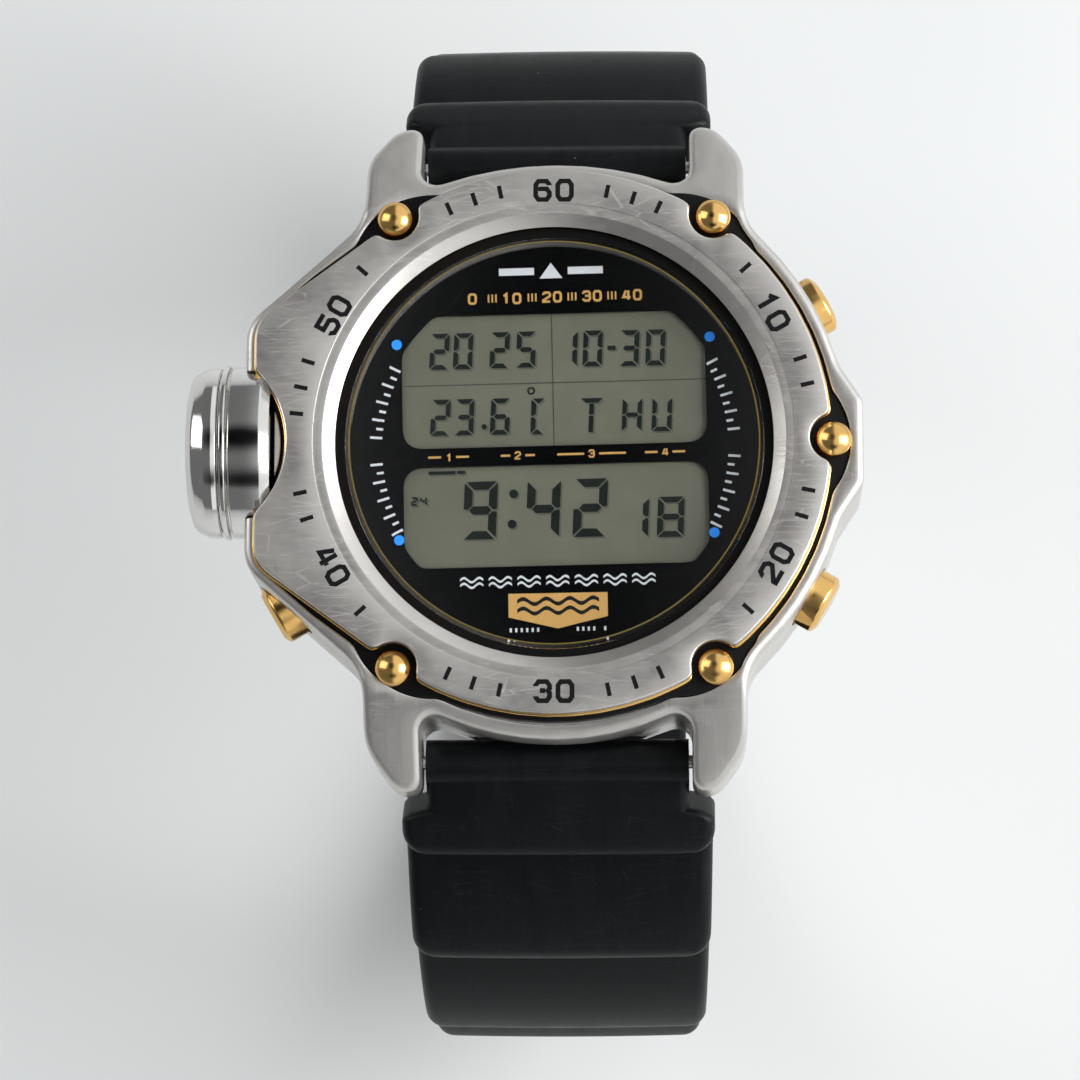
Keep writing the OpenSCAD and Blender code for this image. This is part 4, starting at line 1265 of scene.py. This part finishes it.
class Path:
    """The strap's skin side in the Y-Z plane, measured from the spring bar's end."""

    def __init__(self, end_a):
        start_a = self.start_a = math.degrees(math.atan2(BAR_Z - SIDE_C[1], BAR_Y - SIDE_C[0])) - 1.5
        self.runs = [
            ("arc", SIDE_C, SKIN_R, start_a, 0.0), ("line", SIDE_C + (SKIN_R, 0), LOW_C + (SKIN_R, 0)),
            ("arc", LOW_C, SKIN_R, 0.0, LOW_END), ("arc", BOTTOM_C, BOTTOM_SKIN_R, LOW_END, end_a)]
        self.lengths = [math.radians(run[3] - run[4]) * run[2] if run[0] == "arc"
                        else float(np.linalg.norm(run[2] - run[1])) for run in self.runs]
        self.length = sum(self.lengths)

    def at(self, s):
        """(point on the skin, outward direction) at a distance along the strap."""
        for run, length in zip(self.runs, self.lengths):
            if s <= length or run is self.runs[-1]:
                if run[0] == "arc":
                    a = run[3] - math.degrees(s / run[2])
                    return run[1] + polar(run[2], a), polar(1, a)
                return run[1] + (run[2] - run[1]) * s / length, np.array([1.0, 0.0])
            s -= length

    def s_of_side(self, angle):
        """Distance along the strap of an angle on the upper side arc."""
        return math.radians(self.start_a - angle) * SKIN_R


def ease(u):
    """0 at 0, rising smoothly to 1 at 1."""
    u = min(max(u, 0.0), 1.0)
    return u * u * (3 - 2 * u)


def quarter(u):
    """0 at 0, rising to 1 at 1 along a quarter circle."""
    u = min(max(u, 0.0), 1.0)
    return math.sqrt(1 - (1 - u) ** 2)


# stands for a pleat's number beyond the pleats
PLAIN = 6


def strap_stations(path):
    """(distance, thickness, how far the side is drawn in, pleat number) along the strap."""
    ridges = [path.s_of_side(a) for a in RIDGES] + [path.lengths[0] + 2.6, path.lengths[0] + 9.6]
    tops = [PLEAT_T, PLEAT_T - 0.02, PLEAT_T - 0.05, 3.75, 3.25]
    stations = []
    valley_t = 1.9
    start = 0.0
    for k, (ridge, top) in enumerate(zip(ridges, tops)):
        begin = start
        for u in np.linspace(0, 1, 40 if k else 26):
            s = begin + (ridge - begin) * u
            to_ridge = ridge - s
            round_t = 0.75 * (1 - quarter(to_ridge / 1.3))
            if k == 0:
                t = top - round_t - 0.15 * (1 - u)
            else:
                t = valley_t + (top - valley_t) * ease(u * 1.02) ** 0.75 - round_t
            corner = 2.0 * (1 - quarter(to_ridge / 2.0))
            stations.append([s, t, corner, k])
        start = ridge + 0.12
        valley_t = 1.9 if k < 2 else 2.3
    stations.append([start + 0.1, 2.7, 0.1, len(ridges)])
    plain = [*np.arange(start + 1.0, path.length, 0.8), path.length]
    return stations + [[s, TAIL_T, 0.0, PLAIN] for s in plain]


def section(half, t, top_round, skin_round, channel):
    """Points round the strap's cross-section: x across, height over the skin side."""
    points = []
    corners = [(half, 0, skin_round, -90), (half, t, top_round, 0),
               (-half, t, top_round, 90), (-half, 0, skin_round, 180)]
    for x, h, r, a0 in corners:
        cx, ch = x - math.copysign(r, x), h + (r if h == 0 else -r)
        points += [(cx + r * math.cos(math.radians(a)), ch + r * math.sin(math.radians(a)))
                   for a in np.linspace(a0, a0 + 90, 7)]
        if (x, h) == (half, t):
            xs = np.linspace(cx, -cx, 15)[1:-1]
            rim = cx - 0.9
            crown = 0.12
            points += [(px, t - channel * ease((rim - abs(px)) / 0.7) + crown * (1 - (px / cx) ** 2))
                       for px in xs]
    return points


def strap_shell(path, sign, tail_tip=False):
    shell = Shell()
    rings = []
    for s, t, corner, pleat in strap_stations(path):
        skin, out = path.at(s)
        outer = skin + out * t
        full = side_width(outer[1]) / 2
        if 1 <= pleat <= 4:
            full -= 0.12
        beyond = math.hypot(outer[0] - BAR_Y, outer[1] - BAR_Z) - EAR_START_R
        if pleat == 0 and beyond < 0.9:
            narrow = STRAP_END_W / 2
            full = narrow + (full - narrow) * quarter(beyond / 0.9) if beyond > 0 else narrow
        half = full - corner
        if tail_tip and path.length - s < TAIL_ROUND:
            half = min(half, TAIL_ROUND * quarter((path.length - s + 0.05) / TAIL_ROUND))
        top_round = min(0.95, t * 0.42) if pleat else 0.8
        channel = 0.3 if pleat == PLAIN else 0.0
        ring = []
        for x, h in section(half, t, min(top_round, half * 0.45), min(0.6, half * 0.4), channel):
            y, z = skin + out * h
            ring.append((x, sign * y, z))
        rings.append(shell.ring(ring))
    shell.sweep(rings)
    shell.faces += [tuple(rings[0][::-1]), tuple(rings[-1])]
    return shell


def hung(sign, lean):
    """A strap half leans outwards by some degrees about its spring bar."""
    bar_at = Matrix.Translation((0, sign * BAR_Y, BAR_Z))
    return bar_at @ Matrix.Rotation(math.radians(sign * lean), 4, "X") @ bar_at.inverted()


def hole_tool(centre, r, angle, sign, place):
    """A buckle hole, square to the strap."""
    y, z = polar(1, angle)
    turn = Vector((0, 0, 1)).rotation_difference(Vector((0, sign * y, z))).to_matrix().to_4x4()
    at = Matrix.Translation((0, sign * centre[0], centre[1])) @ turn
    return drill(1.1, r - 2, r + TAIL_T + 2, place @ at, 40)


def make_straps():
    lean = hung(1, LEAN_12)
    buckle_place = lean @ across_x(BUCKLE_AT)
    strap = make_object("strap_half_12", strap_shell(Path(BUCKLE_A), 1), place=lean)
    carve(strap, [strap_eye(1), rod(1.9, 9.3, buckle_place)], "UNION")
    tongue_gap = rod(3.4, 1.7, buckle_place)
    finish_strap(strap, 1, [rod(0.8, 20, buckle_place, 48), tongue_gap])
    fit(strap, "strap_12_body", "strap_resin", "resin", replaces=["strap_12"])

    mid, mid_low = BOTTOM_SKIN_R + TAIL_T / 2, SKIN_R + TAIL_T / 2
    tip_a = -90 - math.degrees(TAIL_PAST_CENTRE / mid)
    lean = hung(-1, LEAN_6)
    strap = make_object("strap_half_6", strap_shell(Path(tip_a), -1, tail_tip=True), place=lean)
    carve(strap, [strap_eye(-1)], "UNION")
    first, pitch, per_arc = 18, 6.4, 4
    left_over = first + per_arc * pitch - math.radians(LOW_END - tip_a) * mid
    holes = []
    for i in range(per_arc):
        on_bottom = tip_a + math.degrees((first + i * pitch) / mid)
        on_side = LOW_END + math.degrees((left_over + i * pitch) / mid_low)
        holes.append(hole_tool(BOTTOM_C, BOTTOM_SKIN_R, on_bottom, -1, lean))
        holes.append(hole_tool(LOW_C, SKIN_R, on_side, -1, lean))
    finish_strap(strap, -1, holes)
    fit(strap, "strap_6_body", "strap_resin", "resin", replaces=["strap_6"])


def strap_eye(sign):
    """The round end that holds the spring bar."""
    return rod(EYE_R, STRAP_END_W / 2 - 0.02, across_x((sign * BAR_Y, BAR_Z)))


def finish_strap(strap, sign, holes):
    """Cuts the spring bar's hole and the others, and shades the strap."""
    carve(strap, [rod(0.95, 20, across_x((sign * BAR_Y, BAR_Z)), 48), *holes])
    finish_mesh(strap.data, 42)


def make_small_parts():
    """The keeper and the buckle keep their CAD shapes, with their edges rounded."""
    for name, node, width, body, slot, look in (
            ("keeper_band", "keeper_loop", 0.35, "keeper_body", "strap_resin", "resin"),
            ("buckle_frame_bar", "buckle_frame", 0.45, "buckle_body", "brushed_case_steel", "case_steel"),
            ("buckle_tongue_bar", "buckle_tongue", 0.3, "tongue_body", "polished_steel", "screw_steel")):
        fit(bevelled(name, node, width), body, slot, look, replaces=[node])


# CAD nodes that are shown as they are, under each look that they are given
CARRIED = {
    "back_steel": "case_back", "screw_steel": "case_back_screws", "backlight": "backlight_panel",
    "housing": "module_housing module_base", "zebra": "zebra_strips", "board": "circuit_board",
    "battery": "battery", "brass": "buzzer switch_contacts", "ceramic": "sensor_element",
    "rubber": "case_back_gasket crystal_gasket sensor_oring pusher_seals",
    "spring_steel": "battery_clip clip_light clip_temp clip_mode clip_adjust pusher_springs "
                    "spring_bar_tubes spring_bar_pins buckle_bar"}


def dress_carried():
    for look, nodes in CARRIED.items():
        for node in nodes.split():
            for slot in NODES[node].material_slots:
                slot.material = looks[look].material


# ---------------------------------------------------------------- room
def make_room():
    floor_z = cad_box[0][2] - 0.2 * MM
    half = 1.5
    mesh = bpy.data.meshes.new("floor")
    corners = [(x * half, y * half, floor_z) for x, y in ((-1, -1), (1, -1), (1, 1), (-1, 1))]
    mesh.from_pydata(corners, [], [(0, 1, 2, 3)])
    floor = linked("floor", mesh)
    look = Look("floor_paper", (0.78, 0.79, 0.785), 0.8)
    look.tint(look.ramp(look.noise(0.01, 2), 0.3, 0.7), (0.72, 0.735, 0.73))
    mesh.materials.append(look.material)

    make_world()
    softbox("window_right", (0.42, -0.02, 0.26), (0.3, 0.4), 2.6)
    softbox("window_left", (-0.7, 0.25, 0.5), (0.5, 0.7), 2.2)


WORLD_LIGHT = 0.62


def make_world():
    """A pale room, darker overhead and towards 6 o'clock, and brighter on the right."""
    world = bpy.data.worlds.new("studio")
    bpy.context.scene.world = world
    world.use_nodes = True
    graph = Graph(world.node_tree)
    back = graph.tree.nodes["Background"]
    split = graph.add("ShaderNodeSeparateXYZ", {0: graph.add("ShaderNodeTexCoord").outputs["Generated"]})
    calc = graph.math

    def smooth(value, low, high, start, end):
        return graph.ramp(value, low, high, start, end, interpolation_type="SMOOTHSTEP")

    x, y, z = split.outputs
    up = calc("MAXIMUM", z, 0.05)
    slope_x, slope_y = calc("DIVIDE", x, up), calc("DIVIDE", y, up)

    def patch(at_x, at_y, wide, deep, darkest):
        across = calc("DIVIDE", calc("SUBTRACT", slope_x, at_x), wide)
        along = calc("DIVIDE", calc("SUBTRACT", slope_y, at_y), deep)
        reach = calc("SQRT", calc("ADD", calc("MULTIPLY", across, across), calc("MULTIPLY", along, along)))
        return smooth(reach, 0.35, 1.3, darkest, 1.0)

    dark = calc("MULTIPLY", patch(-0.12, 0.2, 0.3, 0.36, 0.01), patch(0.0, -1.1, 0.6, 0.55, 0.05))
    side = smooth(x, -0.1, 0.12, 0.3, 1.7)
    graph.link(calc("MULTIPLY", dark, calc("MULTIPLY", side, WORLD_LIGHT)), back.inputs["Strength"])
    back.inputs["Color"].default_value = (0.97, 0.985, 1.0, 1)


def softbox(name, place, size, power):
    """A soft rectangular lamp that looks at the watch."""
    data = bpy.data.lights.new(name, "AREA")
    data.shape = "RECTANGLE"
    data.size, data.size_y = size
    data.energy = power
    lamp = linked(name, data)
    lamp.location = place
    lamp.rotation_euler = (-Vector(place)).to_track_quat("-Z", "Y").to_euler()


def make_camera():
    data = bpy.data.cameras.new("camera")
    data.sensor_width = 36
    data.lens = 157.0
    data.clip_start, data.clip_end = 0.01, 10
    camera = linked("camera", data)
    turn = Matrix.Rotation(math.radians(10.32), 4, "X") @ Matrix.Rotation(math.radians(1.96), 4, "Y")
    turn = turn @ Matrix.Rotation(math.radians(-0.35), 4, "Z")
    camera.matrix_world = turn @ Matrix.Translation(Vector((-1.44, -5.19, 357.08)) * MM)
    bpy.context.scene.camera = camera
    bpy.context.scene.view_settings.view_transform = "Standard"


make_case()
make_plates()
make_bezel()
make_screws()
make_sensor()
make_pushers()
make_dial()
make_lcd()
make_dial_marks()
make_bezel_marks()
make_crystal()
make_straps()
make_small_parts()
dress_carried()
make_room()
make_camera()
for leftover in [o for o in bpy.data.objects if o.name.startswith("cutter")]:
    bpy.data.objects.remove(leftover)
